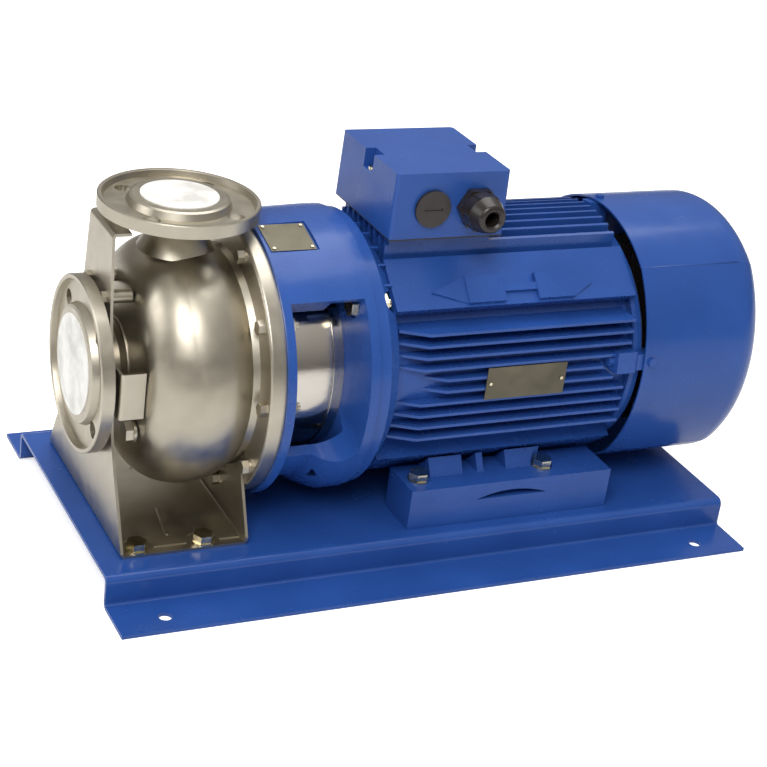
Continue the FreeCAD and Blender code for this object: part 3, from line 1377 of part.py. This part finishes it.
def blanking_plug():
    """Round plug in the unused cable entry."""
    point = V(box_x0 + plug_from_start, -box_width / 2 - seat, box_z0 + entry_height)
    head = Part.makeCylinder(plug_radius, 3.5)
    head = head.fuse(Part.makeCylinder(entry_radius, box_wall + 4.0, V(0, 0, -box_wall - 4.0)))
    slot = Part.makeBox(22.0, 3.0, 1.6, V(-11.0, -1.5, 2.4))
    return aimed(head.cut(slot), point, V(0, -1, 0))


# ---------------------------------------------------------------- plates and fixings
def motor_plate():
    """Bare rating plate in front of the short fins."""
    x0 = frame_x0 + motor_plate_start
    z0 = plate_z - motor_plate_height / 2
    y1 = -fin_reach
    return block(x0, x0 + motor_plate_length, y1 - plate_thickness, y1, z0, z0 + motor_plate_height)


def motor_plate_rivets():
    """Rivet heads at both ends of the motor plate."""
    x0 = frame_x0 + motor_plate_start
    rivets = []
    for x in (x0 + 5.0, x0 + motor_plate_length - 5.0):
        start = V(x, -fin_reach - plate_thickness, plate_z)
        rivets.append(rod(rivet_radius, start, start - V(0, 1.2, 0)))
    return rivets


def casing_foot_bolts():
    """Bolts, washers and nuts that hold the casing foot on the base."""
    fixing = bolt_and_nut(foot_bolt_dia, 19.0, 8.0, foot_sheet + base_sheet, 2.0)
    return [aimed(fixing, p + V(0, 0, foot_sheet), V(0, 0, 1)) for p in casing_foot_points()]


def motor_foot_bolts():
    """Bolts, washers and nuts that hold the motor feet and blocks on the base."""
    height = block_height + motor_foot_plate
    fixing = bolt_and_nut(motor_bolt_dia, 19.0, 8.0, height + base_sheet, 2.0)
    return [aimed(fixing, p + V(0, 0, height), V(0, 0, 1)) for p in motor_foot_points()]


def save(name, shape):
    """Writes one node; a list becomes a group of separate solids."""
    if isinstance(shape, list):
        shape = Part.makeCompound(shape)
    shape.exportStep(os.path.join("parts", name + ".step"))
    print(name, len(shape.Solids), "solids, valid", shape.isValid(), "volume", round(shape.Volume))


def main():
    """Builds and saves every node."""
    os.makedirs("parts", exist_ok=True)
    for build in (base_plate, casing_foot, casing, suction_neck, discharge_neck, suction_flange,
                  discharge_flange, suction_seal_disc, discharge_seal_disc, drain_plug, casing_bolts,
                  seal_cover, casing_gasket, inlet_ring, impeller, impeller_nut, seal_seat_ring, seal_face_ring, seal_bellows, stub_shaft,
                  sleeve_screws, motor_shaft, rotor_core, lantern, lantern_bolts, shaft_guard, lantern_plate,
                  lantern_plate_rivets, drive_end_shield, motor_frame, fan_end_shield, shield_screws,
                  stator_core, windings, wave_spring, shaft_seal, cooling_fan, fan_cowl, cowl_screws,
                  terminal_box, terminal_gasket, box_screws, terminal_board, terminal_studs, gland_body,
                  gland_nut, blanking_plug, motor_plate, motor_plate_rivets, casing_foot_bolts,
                  motor_foot_bolts):
        save(build.__name__, build())
    save("foot_spacers", both(foot_spacer()))
    save("motor_blocks", both(motor_block()))
    save("motor_feet", both(motor_foot()))
    drive = bearing_rings(drive_bearing_x, drive_bearing_width, drive_bearing_radius)
    fan_end = bearing_rings(fan_bearing_x, fan_bearing_width, fan_bearing_radius)
    for place, pieces in (("drive_bearing", drive), ("fan_bearing", fan_end)):
        for part, piece in zip(("outer", "inner", "balls"), pieces):
            save(place + "_" + part, piece)


main()
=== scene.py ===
"""Close-coupled pump set: finishes, weld beads and trim, studio and camera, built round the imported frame."""

import logging
import math
from dataclasses import dataclass
from enum import Enum

import bmesh
import bpy
from mathutils import Matrix, Vector


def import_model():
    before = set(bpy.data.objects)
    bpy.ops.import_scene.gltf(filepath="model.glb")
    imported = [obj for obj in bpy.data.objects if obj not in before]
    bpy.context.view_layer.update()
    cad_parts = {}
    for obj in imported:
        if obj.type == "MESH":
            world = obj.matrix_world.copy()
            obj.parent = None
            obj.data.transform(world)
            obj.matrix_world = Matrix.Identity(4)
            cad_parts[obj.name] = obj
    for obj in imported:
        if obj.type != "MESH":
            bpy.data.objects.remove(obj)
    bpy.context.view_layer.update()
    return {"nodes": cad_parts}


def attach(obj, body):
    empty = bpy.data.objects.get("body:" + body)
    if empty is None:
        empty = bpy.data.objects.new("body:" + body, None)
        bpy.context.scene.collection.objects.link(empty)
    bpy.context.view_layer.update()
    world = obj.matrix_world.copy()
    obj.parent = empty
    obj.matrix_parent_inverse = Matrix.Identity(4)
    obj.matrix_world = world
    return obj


LOG = logging.getLogger("pump_set")
MM = 0.001
Colour = tuple[float, float, float]
Point = tuple[float, float, float]
Socket = bpy.types.NodeSocket

# The places of the solids that the trim is fitted to.
SUCTION_FACE_X = -366 * MM
SHAFT_Z = 196 * MM
SUCTION_FLANGE_WELD_X = SUCTION_FACE_X + 16 * MM
SUCTION_NECK_WELD_X = SUCTION_FACE_X + 43.6 * MM
DISCHARGE_X = SUCTION_FACE_X + 100 * MM
DISCHARGE_FLANGE_WELD_Z = 351 * MM
SUCTION_PIPE_RADIUS = 39 * MM
SUCTION_NECK_RADIUS = 45.8 * MM
DISCHARGE_PIPE_RADIUS = 28 * MM
COWL_START_X = 237 * MM
COWL_STRAIGHT = 128 * MM
COWL_RADIUS = 151 * MM
COWL_CREASE_ANGLE = math.radians(41.3)

# Parts of the noise's range that a ramp or a spread uses.
NOISE_RANGE = (0.3, 0.7)
SOFT_BLEND = (0.35, 0.7)
FILM_BLEND = (0.35, 0.6)


class Body(str, Enum):
    """Body of the frame that the trim rides on."""

    PUMP = "pump_set"


class Coat(Enum):
    """How a painted surface was made: rolled sheet, sand casting or moulded hood."""

    SHEET = (0.00004, 260.0)
    CAST = (0.00012, 420.0)
    HOOD = (0.00003, 500.0)

    @property
    def bump(self) -> float:
        """Depth of the surface's unevenness, in metres."""
        return self.value[0]

    @property
    def grain(self) -> float:
        """Scale of the surface's unevenness."""
        return self.value[1]


# ---------------------------------------------------------------- shader helpers
class Shader:
    """Small builder round one material's node tree."""

    def __init__(self, name: str) -> None:
        """Makes an empty material with a Principled shader and Object coordinates.

        Args:
            name: name of the material.
        """
        self.material = bpy.data.materials.new(name)
        self.material.use_nodes = True
        self.nodes = self.material.node_tree.nodes
        self.links = self.material.node_tree.links
        self.nodes.clear()
        self.output = self.nodes.new("ShaderNodeOutputMaterial")
        self.surface = self.nodes.new("ShaderNodeBsdfPrincipled")
        self.links.new(self.surface.outputs[0], self.output.inputs[0])
        self.place = self.nodes.new("ShaderNodeTexCoord").outputs["Object"]

    def set(self, **values: object) -> "Shader":
        """Sets the shader's own sockets.

        Args:
            values: socket names, with _ for a space, and their constant values.

        Returns:
            This builder.
        """
        for name, value in values.items():
            self.surface.inputs[name.replace("_", " ")].default_value = value
        return self

    def noise(self, scale: float, detail: float = 4.0, stretch: Point = (1.0, 1.0, 1.0)) -> Socket:
        """Noise on Object coordinates.

        Args:
            scale: cells per metre.
            detail: number of octaves.
            stretch: scale of each axis, for a brushed or streaky look.

        Returns:
            The socket that carries the noise.
        """
        mapping = self.nodes.new("ShaderNodeMapping")
        mapping.inputs["Scale"].default_value = stretch
        self.links.new(self.place, mapping.inputs[0])
        texture = self.nodes.new("ShaderNodeTexNoise")
        texture.inputs["Scale"].default_value = scale
        texture.inputs["Detail"].default_value = detail
        self.links.new(mapping.outputs[0], texture.inputs["Vector"])
        return texture.outputs["Fac"]

    def ramp(self, source: Socket, low: Colour, high: Colour, stops: tuple[float, float]) -> Socket:
        """Blends two colours by a value between two stops.

        Args:
            source: socket with the value.
            low: colour at the first stop.
            high: colour at the second stop.
            stops: places of the two stops.

        Returns:
            The colour socket.
        """
        node = self.nodes.new("ShaderNodeValToRGB")
        first, second = node.color_ramp.elements
        first.position, second.position = stops
        first.color, second.color = (*low, 1.0), (*high, 1.0)
        self.links.new(source, node.inputs[0])
        return node.outputs[0]

    def spread(self, source: Socket, low: float, high: float) -> Socket:
        """Maps the middle of the noise's range on a range of values.

        Args:
            source: socket with the value.
            low: result at the lower end of NOISE_RANGE.
            high: result at its upper end.

        Returns:
            The socket with the result.
        """
        node = self.nodes.new("ShaderNodeMapRange")
        node.inputs["From Min"].default_value, node.inputs["From Max"].default_value = NOISE_RANGE
        node.inputs["To Min"].default_value = low
        node.inputs["To Max"].default_value = high
        self.links.new(source, node.inputs[0])
        return node.outputs[0]

    def bump(self, source: Socket, depth: float, strength: float = 1.0) -> "Shader":
        """Adds a bump on top of the ones that are there.

        Args:
            source: socket with the height.
            depth: height in metres at value 1.
            strength: share of the bump that shows.

        Returns:
            This builder.
        """
        node = self.nodes.new("ShaderNodeBump")
        node.inputs["Strength"].default_value = strength
        node.inputs["Distance"].default_value = depth
        self.links.new(source, node.inputs["Height"])
        normal = self.surface.inputs["Normal"]
        if normal.is_linked:
            self.links.new(normal.links[0].from_socket, node.inputs["Normal"])
        self.links.new(node.outputs[0], normal)
        return self

    def join(self, source: Socket, socket: str) -> "Shader":
        """Links a socket to the shader.

        Args:
            source: socket to link from.
            socket: name of the shader's input.

        Returns:
            This builder.
        """
        self.links.new(source, self.surface.inputs[socket])
        return self


# ---------------------------------------------------------------- finishes
@dataclass(frozen=True)
class GlossPaint:
    """Royal blue machine enamel over sheet or castings."""

    name: str
    coat: Coat
    colour: Colour = (0.019, 0.070, 0.29)
    faded: Colour = (0.025, 0.088, 0.35)
    roughness: float = 0.24
    smoother: float = 0.05
    rougher: float = 0.09
    patch_scale: float = 9.0
    sheen_scale: float = 30.0
    grain_share: float = 0.6
    wave_scale: float = 18.0
    wave_depth: float = 0.0008
    wave_share: float = 0.12

    def material(self) -> bpy.types.Material:
        """Builds the paint."""
        shader = Shader(self.name)
        patches = shader.noise(self.patch_scale, 3.0)
        shader.join(shader.ramp(patches, self.colour, self.faded, SOFT_BLEND), "Base Color")
        sheen = shader.noise(self.sheen_scale)
        roughness = shader.spread(sheen, self.roughness - self.smoother, self.roughness + self.rougher)
        shader.join(roughness, "Roughness")
        shader.set(Coat_Weight=0.08, Coat_Roughness=0.1, Specular_IOR_Level=0.3)
        shader.bump(shader.noise(self.coat.grain, 3.0), self.coat.bump, self.grain_share)
        shader.bump(shader.noise(self.wave_scale, 2.0), self.wave_depth, self.wave_share)
        return shader.material


@dataclass(frozen=True)
class Steel:
    """Bare steel, from satin pickled sheet to polished or machined surfaces."""

    name: str
    colour: Colour
    stain: Colour
    roughness: float
    spread: float = 0.10
    stretch: Point = (1.0, 1.0, 1.0)
    grain: float = 900.0
    depth: float = 0.00002
    grain_share: float = 0.5
    cloud_scale: float = 9.0
    streak_scale: float = 60.0

    def material(self) -> bpy.types.Material:
        """Builds the metal."""
        shader = Shader(self.name)
        clouds = shader.noise(self.cloud_scale, 3.0)
        shader.join(shader.ramp(clouds, self.stain, self.colour, NOISE_RANGE), "Base Color")
        streaks = shader.noise(self.streak_scale, 5.0, self.stretch)
        roughness = shader.spread(streaks, self.roughness - self.spread, self.roughness + self.spread)
        shader.join(roughness, "Roughness")
        shader.set(Metallic=1.0)
        shader.bump(shader.noise(self.grain, 3.0, self.stretch), self.depth, self.grain_share)
        return shader.material


@dataclass(frozen=True)
class Moulding:
    """Plastic, rubber or ceramic with one colour and a fine surface grain."""

    name: str
    colour: Colour
    roughness: float
    smoother: float = 0.05
    rougher: float = 0.08
    lighter_by: float = 1.25
    lighter_plus: float = 0.004
    tone_scale: float = 40.0
    sheen_scale: float = 90.0
    grain: float = 700.0
    depth: float = 0.00003
    grain_share: float = 0.5

    def material(self) -> bpy.types.Material:
        """Builds the moulding."""
        shader = Shader(self.name)
        lighter = tuple(min(1.0, self.lighter_by * part + self.lighter_plus) for part in self.colour)
        tones = shader.noise(self.tone_scale)
        shader.join(shader.ramp(tones, self.colour, lighter, SOFT_BLEND), "Base Color")
        sheen = shader.noise(self.sheen_scale)
        roughness = shader.spread(sheen, self.roughness - self.smoother, self.roughness + self.rougher)
        shader.join(roughness, "Roughness")
        shader.bump(shader.noise(self.grain, 2.0), self.depth, self.grain_share)
        return shader.material


@dataclass(frozen=True)
class CrinkledFilm:
    """White film stuck over the openings, with soft crinkles."""

    name: str = "crinkled_film"
    shade: Colour = (0.62, 0.61, 0.57)
    white: Colour = (0.86, 0.86, 0.83)
    roughness: float = 0.55
    crinkle_scale: float = 35.0
    crinkle_depth: float = 0.004
    crinkle_share: float = 0.5

    def material(self) -> bpy.types.Material:
        """Builds the film."""
        shader = Shader(self.name)
        crinkles = shader.noise(self.crinkle_scale, 5.0)
        shader.join(shader.ramp(crinkles, self.shade, self.white, FILM_BLEND), "Base Color")
        shader.set(Roughness=self.roughness)
        shader.bump(crinkles, self.crinkle_depth, self.crinkle_share)
        return shader.material


Finish = GlossPaint | Steel | Moulding | CrinkledFilm

SHEET_PAINT = GlossPaint("sheet_paint", Coat.SHEET, roughness=0.2)
CAST_PAINT = GlossPaint("cast_paint", Coat.CAST)
HOOD_PAINT = GlossPaint("hood_paint", Coat.HOOD, roughness=0.3)
SATIN_SHEET = Steel("satin_sheet", (0.53, 0.49, 0.41), (0.44, 0.40, 0.32), 0.36, 0.06)
WELD = Steel("weld_metal", (0.42, 0.38, 0.31), (0.22, 0.18, 0.14), 0.42, 0.08, grain=420.0, depth=0.0006)
POLISHED = Steel("polished_sheet", (0.66, 0.63, 0.58), (0.55, 0.50, 0.44), 0.14, 0.05, (1.0, 8.0, 8.0))
MACHINED = Steel("machined_steel", (0.55, 0.55, 0.54), (0.42, 0.42, 0.40), 0.25, 0.06, (12.0, 1.0, 1.0))
ZINC = Steel("zinc_plate", (0.80, 0.76, 0.60), (0.62, 0.55, 0.36), 0.22)
BARE_PLATE = Steel("bare_plate", (0.17, 0.155, 0.115), (0.11, 0.10, 0.075), 0.42)
COPPER = Steel("copper_wire", (0.60, 0.28, 0.12), (0.45, 0.20, 0.08), 0.35)
BRASS = Steel("brass_stud", (0.70, 0.52, 0.22), (0.52, 0.36, 0.14), 0.25)
BLACK = Moulding("black_moulding", (0.018, 0.014, 0.012), 0.28)
RUBBER = Moulding("sealing_rubber", (0.03, 0.03, 0.03), 0.6)
CERAMIC = Moulding("seal_ceramic", (0.12, 0.12, 0.13), 0.3)
FILM = CrinkledFilm()

DRESS: dict[Finish, tuple[str, ...]] = {
    SHEET_PAINT: ("base_plate", "fan_cowl", "motor_blocks"),
    CAST_PAINT: ("lantern", "drive_end_shield", "motor_frame", "fan_end_shield", "motor_feet",
                 "shield_screws", "cowl_screws"),
    HOOD_PAINT: ("terminal_box",),
    SATIN_SHEET: ("casing", "suction_neck", "discharge_neck", "casing_foot", "foot_spacers",
                  "suction_flange", "discharge_flange", "drain_plug", "casing_bolts", "seal_cover",
                  "inlet_ring", "impeller", "impeller_nut"),
    POLISHED: ("shaft_guard",),
    MACHINED: ("stub_shaft", "sleeve_screws", "motor_shaft", "rotor_core", "stator_core",
               "drive_bearing_outer", "drive_bearing_inner", "drive_bearing_balls", "fan_bearing_outer",
               "fan_bearing_inner", "fan_bearing_balls", "wave_spring"),
    ZINC: ("casing_foot_bolts", "motor_foot_bolts", "lantern_bolts", "box_screws", "lantern_plate_rivets",
           "motor_plate_rivets"),
    BARE_PLATE: ("lantern_plate", "motor_plate"),
    COPPER: ("windings",),
    BRASS: ("terminal_studs",),
    BLACK: ("gland_body", "gland_nut", "blanking_plug", "cooling_fan", "terminal_board"),
    RUBBER: ("casing_gasket", "terminal_gasket", "shaft_seal", "seal_bellows"),
    CERAMIC: ("seal_seat_ring", "seal_face_ring"),
    FILM: ("suction_seal_disc", "discharge_seal_disc"),
}


# ---------------------------------------------------------------- trim
def place_piece(name: str, mesh: bmesh.types.BMesh, finish: Finish) -> bpy.types.Object:
    """Turns a bmesh into a smooth piece of the pump body.

    Args:
        name: name of the piece.
        mesh: its mesh, which is freed.
        finish: its finish.

    Returns:
        The object.
    """
    for face in mesh.faces:
        face.smooth = True
    data = bpy.data.meshes.new(name)
    mesh.to_mesh(data)
    mesh.free()
    piece = bpy.data.objects.new(name, data)
    bpy.context.scene.collection.objects.link(piece)
    data.materials.append(finish.material())
    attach(piece, Body.PUMP.value)
    return piece


@dataclass(frozen=True)
class WeldBead:
    """Round weld bead where a pipe meets a flange or a wall."""

    name: str
    centre: Point
    upright: bool
    radius: float
    thickness: float = 2.2 * MM
    section_sides: int = 12
    steps: int = 96

    def build(self) -> bpy.types.Object:
        """Spins a small round section about the pipe's axis and hands it to the pump body.

        Returns:
            The bead's object.
        """
        mesh = bmesh.new()
        axis = Vector((0.0, 0.0, 1.0)) if self.upright else Vector((1.0, 0.0, 0.0))
        out = Vector((0.0, 1.0, 0.0))
        turn = axis.cross(out).normalized().to_track_quat("Z", "Y").to_matrix().to_4x4()
        spot = Matrix.Translation(Vector(self.centre) + out * self.radius) @ turn
        ring = bmesh.ops.create_circle(mesh, segments=self.section_sides, radius=self.thickness,
                                       matrix=spot)
        loop = list({edge for vert in ring["verts"] for edge in vert.link_edges})
        bmesh.ops.spin(mesh, geom=ring["verts"] + loop, cent=self.centre, axis=axis, dvec=(0.0, 0.0, 0.0),
                       angle=math.tau, steps=self.steps, use_merge=True, use_duplicate=False)
        bmesh.ops.recalc_face_normals(mesh, faces=mesh.faces[:])
        return place_piece(self.name, mesh, WELD)


@dataclass(frozen=True)
class CreaseLine:
    """Sharp pressed crease along the upper side of the fan cowl."""

    name: str
    side: int
    thickness: float = 0.9 * MM
    sunk: float = 0.4 * MM
    section_sides: int = 12

    def build(self) -> bpy.types.Object:
        """Makes a slim round ridge that lies partly in the cowl's wall, along the crease.

        Returns:
            The ridge's object.
        """
        mesh = bmesh.new()
        reach = COWL_RADIUS - self.sunk
        spot = Vector((COWL_START_X + COWL_STRAIGHT / 2, self.side * reach * math.sin(COWL_CREASE_ANGLE),
                       SHAFT_Z + reach * math.cos(COWL_CREASE_ANGLE)))
        matrix = Matrix.Translation(spot) @ Matrix.Rotation(math.pi / 2, 4, "Y")
        bmesh.ops.create_cone(mesh, cap_ends=True, segments=self.section_sides, radius1=self.thickness,
                              radius2=self.thickness, depth=COWL_STRAIGHT, matrix=matrix)
        bmesh.ops.recalc_face_normals(mesh, faces=mesh.faces[:])
        return place_piece(self.name, mesh, SHEET_PAINT)


@dataclass(frozen=True)
class Trim:
    """Weld beads and creases that finish the solids."""

    beads: tuple[WeldBead, ...] = (
        WeldBead("suction_flange_weld", (SUCTION_FLANGE_WELD_X, 0.0, SHAFT_Z), False, SUCTION_PIPE_RADIUS),
        WeldBead("suction_neck_weld", (SUCTION_NECK_WELD_X, 0.0, SHAFT_Z), False, SUCTION_NECK_RADIUS),
        WeldBead("discharge_flange_weld", (DISCHARGE_X, 0.0, DISCHARGE_FLANGE_WELD_Z), True,
                 DISCHARGE_PIPE_RADIUS),
    )
    creases: tuple[CreaseLine, ...] = (CreaseLine("near_crease", -1), CreaseLine("far_crease", 1))

    def build(self) -> None:
        """Builds every piece of trim."""
        for piece in (*self.beads, *self.creases):
            piece.build()
            LOG.info("%s built", piece.name)


# ---------------------------------------------------------------- studio
@dataclass(frozen=True)
class SoftLight:
    """Square soft light aimed at the pump, in metres and watts."""

    name: str
    place: Point
    size: float
    power: float
    target: Point = (0.0, 0.0, 0.15)

    def build(self) -> None:
        """Adds the light."""
        data = bpy.data.lights.new(self.name, "AREA")
        data.size = self.size
        data.energy = self.power
        lamp = bpy.data.objects.new(self.name, data)
        lamp.location = self.place
        lamp.rotation_euler = (Vector(self.target) - lamp.location).to_track_quat("-Z", "Y").to_euler()
        bpy.context.scene.collection.objects.link(lamp)


@dataclass(frozen=True)
class Camera:
    """Camera given by its place, bearing, tilt and roll, with angles in degrees."""

    place: Point = (-0.9165, -1.6843, 1.0469)
    azimuth: float = 28.388
    elevation: float = 25.309
    roll: float = 7.971
    lens: float = 89.2
    sensor_width: float = 36.0

    def build(self) -> None:
        """Adds the camera and makes it the scene's own."""
        turn, tilt, roll = (math.radians(angle) for angle in (self.azimuth, self.elevation, self.roll))
        ahead = Vector((math.sin(turn) * math.cos(tilt), math.cos(turn) * math.cos(tilt), -math.sin(tilt)))
        side = ahead.cross(Vector((0, 0, 1))).normalized()
        up = side.cross(ahead)
        right = side * math.cos(roll) + up * math.sin(roll)
        above = up * math.cos(roll) - side * math.sin(roll)
        data = bpy.data.cameras.new("camera")
        data.lens = self.lens
        data.sensor_width = self.sensor_width
        shot = bpy.data.objects.new("camera", data)
        facing = Matrix((right, above, -ahead)).transposed().to_4x4()
        shot.matrix_world = Matrix.Translation(self.place) @ facing
        bpy.context.scene.collection.objects.link(shot)
        bpy.context.scene.camera = shot


@dataclass(frozen=True)
class Backdrop:
    """World that the camera sees as white and that lights the object from above."""

    strength: float = 0.55
    ground: Colour = (0.16, 0.14, 0.13)
    sky: Colour = (1.0, 0.98, 0.95)
    horizon: float = 0.42
    zenith: float = 0.85

    def build(self) -> None:
        """Makes the world."""
        world = bpy.data.worlds.new("studio_world")
        world.use_nodes = True
        nodes, links = world.node_tree.nodes, world.node_tree.links
        nodes.clear()
        output = nodes.new("ShaderNodeOutputWorld")
        mix = nodes.new("ShaderNodeMixShader")
        seen, light = nodes.new("ShaderNodeBackground"), nodes.new("ShaderNodeBackground")
        seen.inputs[0].default_value, seen.inputs[1].default_value = (1.0, 1.0, 1.0, 1.0), 1.0
        light.inputs[1].default_value = self.strength
        coords, split = nodes.new("ShaderNodeTexCoord"), nodes.new("ShaderNodeSeparateXYZ")
        ramp = nodes.new("ShaderNodeValToRGB")
        low, high = ramp.color_ramp.elements
        low.position, high.position = self.horizon, self.zenith
        low.color, high.color = (*self.ground, 1.0), (*self.sky, 1.0)
        height = nodes.new("ShaderNodeMapRange")
        height.inputs["From Min"].default_value, height.inputs["From Max"].default_value = -1.0, 1.0
        links.new(coords.outputs["Generated"], split.inputs[0])
        links.new(split.outputs["Z"], height.inputs[0])
        links.new(height.outputs[0], ramp.inputs[0])
        links.new(ramp.outputs[0], light.inputs[0])
        rays = nodes.new("ShaderNodeLightPath")
        links.new(rays.outputs["Is Camera Ray"], mix.inputs[0])
        links.new(light.outputs[0], mix.inputs[1])
        links.new(seen.outputs[0], mix.inputs[2])
        links.new(mix.outputs[0], output.inputs[0])
        bpy.context.scene.world = world


@dataclass(frozen=True)
class Floor:
    """Pale floor that takes the shadow and shows white to the camera."""

    half_width: float = 6.0
    shade: float = 0.9
    roughness: float = 0.9
    glow: float = 0.55

    def build(self) -> None:
        """Adds the floor."""
        mesh = bmesh.new()
        bmesh.ops.create_grid(mesh, x_segments=1, y_segments=1, size=self.half_width)
        data = bpy.data.meshes.new("floor")
        mesh.to_mesh(data)
        mesh.free()
        floor = bpy.data.objects.new("floor", data)
        bpy.context.scene.collection.objects.link(floor)
        data.materials.append(self.material())

    def material(self) -> bpy.types.Material:
        """Builds the floor's finish, with a glow that only the camera sees.

        Returns:
            The material.
        """
        shader = Shader("floor")
        shader.set(Base_Color=(self.shade, self.shade, self.shade, 1.0), Roughness=self.roughness)
        glow = shader.nodes.new("ShaderNodeEmission")
        glow.inputs[0].default_value = (1.0, 1.0, 1.0, 1.0)
        glow.inputs[1].default_value = self.glow
        total = shader.nodes.new("ShaderNodeAddShader")
        mix = shader.nodes.new("ShaderNodeMixShader")
        rays = shader.nodes.new("ShaderNodeLightPath")
        shader.links.new(shader.surface.outputs[0], total.inputs[0])
        shader.links.new(glow.outputs[0], total.inputs[1])
        shader.links.new(rays.outputs["Is Camera Ray"], mix.inputs[0])
        shader.links.new(shader.surface.outputs[0], mix.inputs[1])
        shader.links.new(total.outputs[0], mix.inputs[2])
        shader.links.new(mix.outputs[0], shader.output.inputs[0])
        return shader.material


@dataclass(frozen=True)
class Studio:
    """Camera, backdrop, floor and soft lights."""

    camera: Camera = Camera()
    backdrop: Backdrop = Backdrop()
    floor: Floor = Floor()
    lights: tuple[SoftLight, ...] = (
        SoftLight("key", (-1.6, -2.2, 3.2), 2.2, 95.0),
        SoftLight("top", (0.6, 0.8, 3.4), 2.6, 60.0),
        SoftLight("side", (-3.2, 0.6, 1.6), 1.6, 22.0),
    )

    def build(self) -> None:
        """Makes the whole studio."""
        for piece in (self.camera, self.backdrop, self.floor, *self.lights):
            piece.build()
        bpy.context.scene.view_settings.view_transform = "Standard"
        LOG.info("studio built with %d lights", len(self.lights))


def dress_nodes(nodes: dict[str, bpy.types.Object]) -> None:
    """Gives every CAD node its finish.

    Args:
        nodes: the frame's nodes by name.
    """
    for finish, names in DRESS.items():
        material = finish.material()
        for name in names:
            piece = nodes[name]
            piece.data.materials.clear()
            piece.data.materials.append(material)
        LOG.info("%s on %d nodes", finish.name, len(names))


def main() -> None:
    """Builds the dressed pump set and its studio."""
    logging.basicConfig(level=logging.INFO, format="%(message)s")
    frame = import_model()
    dress_nodes(frame["nodes"])
    Trim().build()
    Studio().build()


if __name__ == "__main__":
    main()
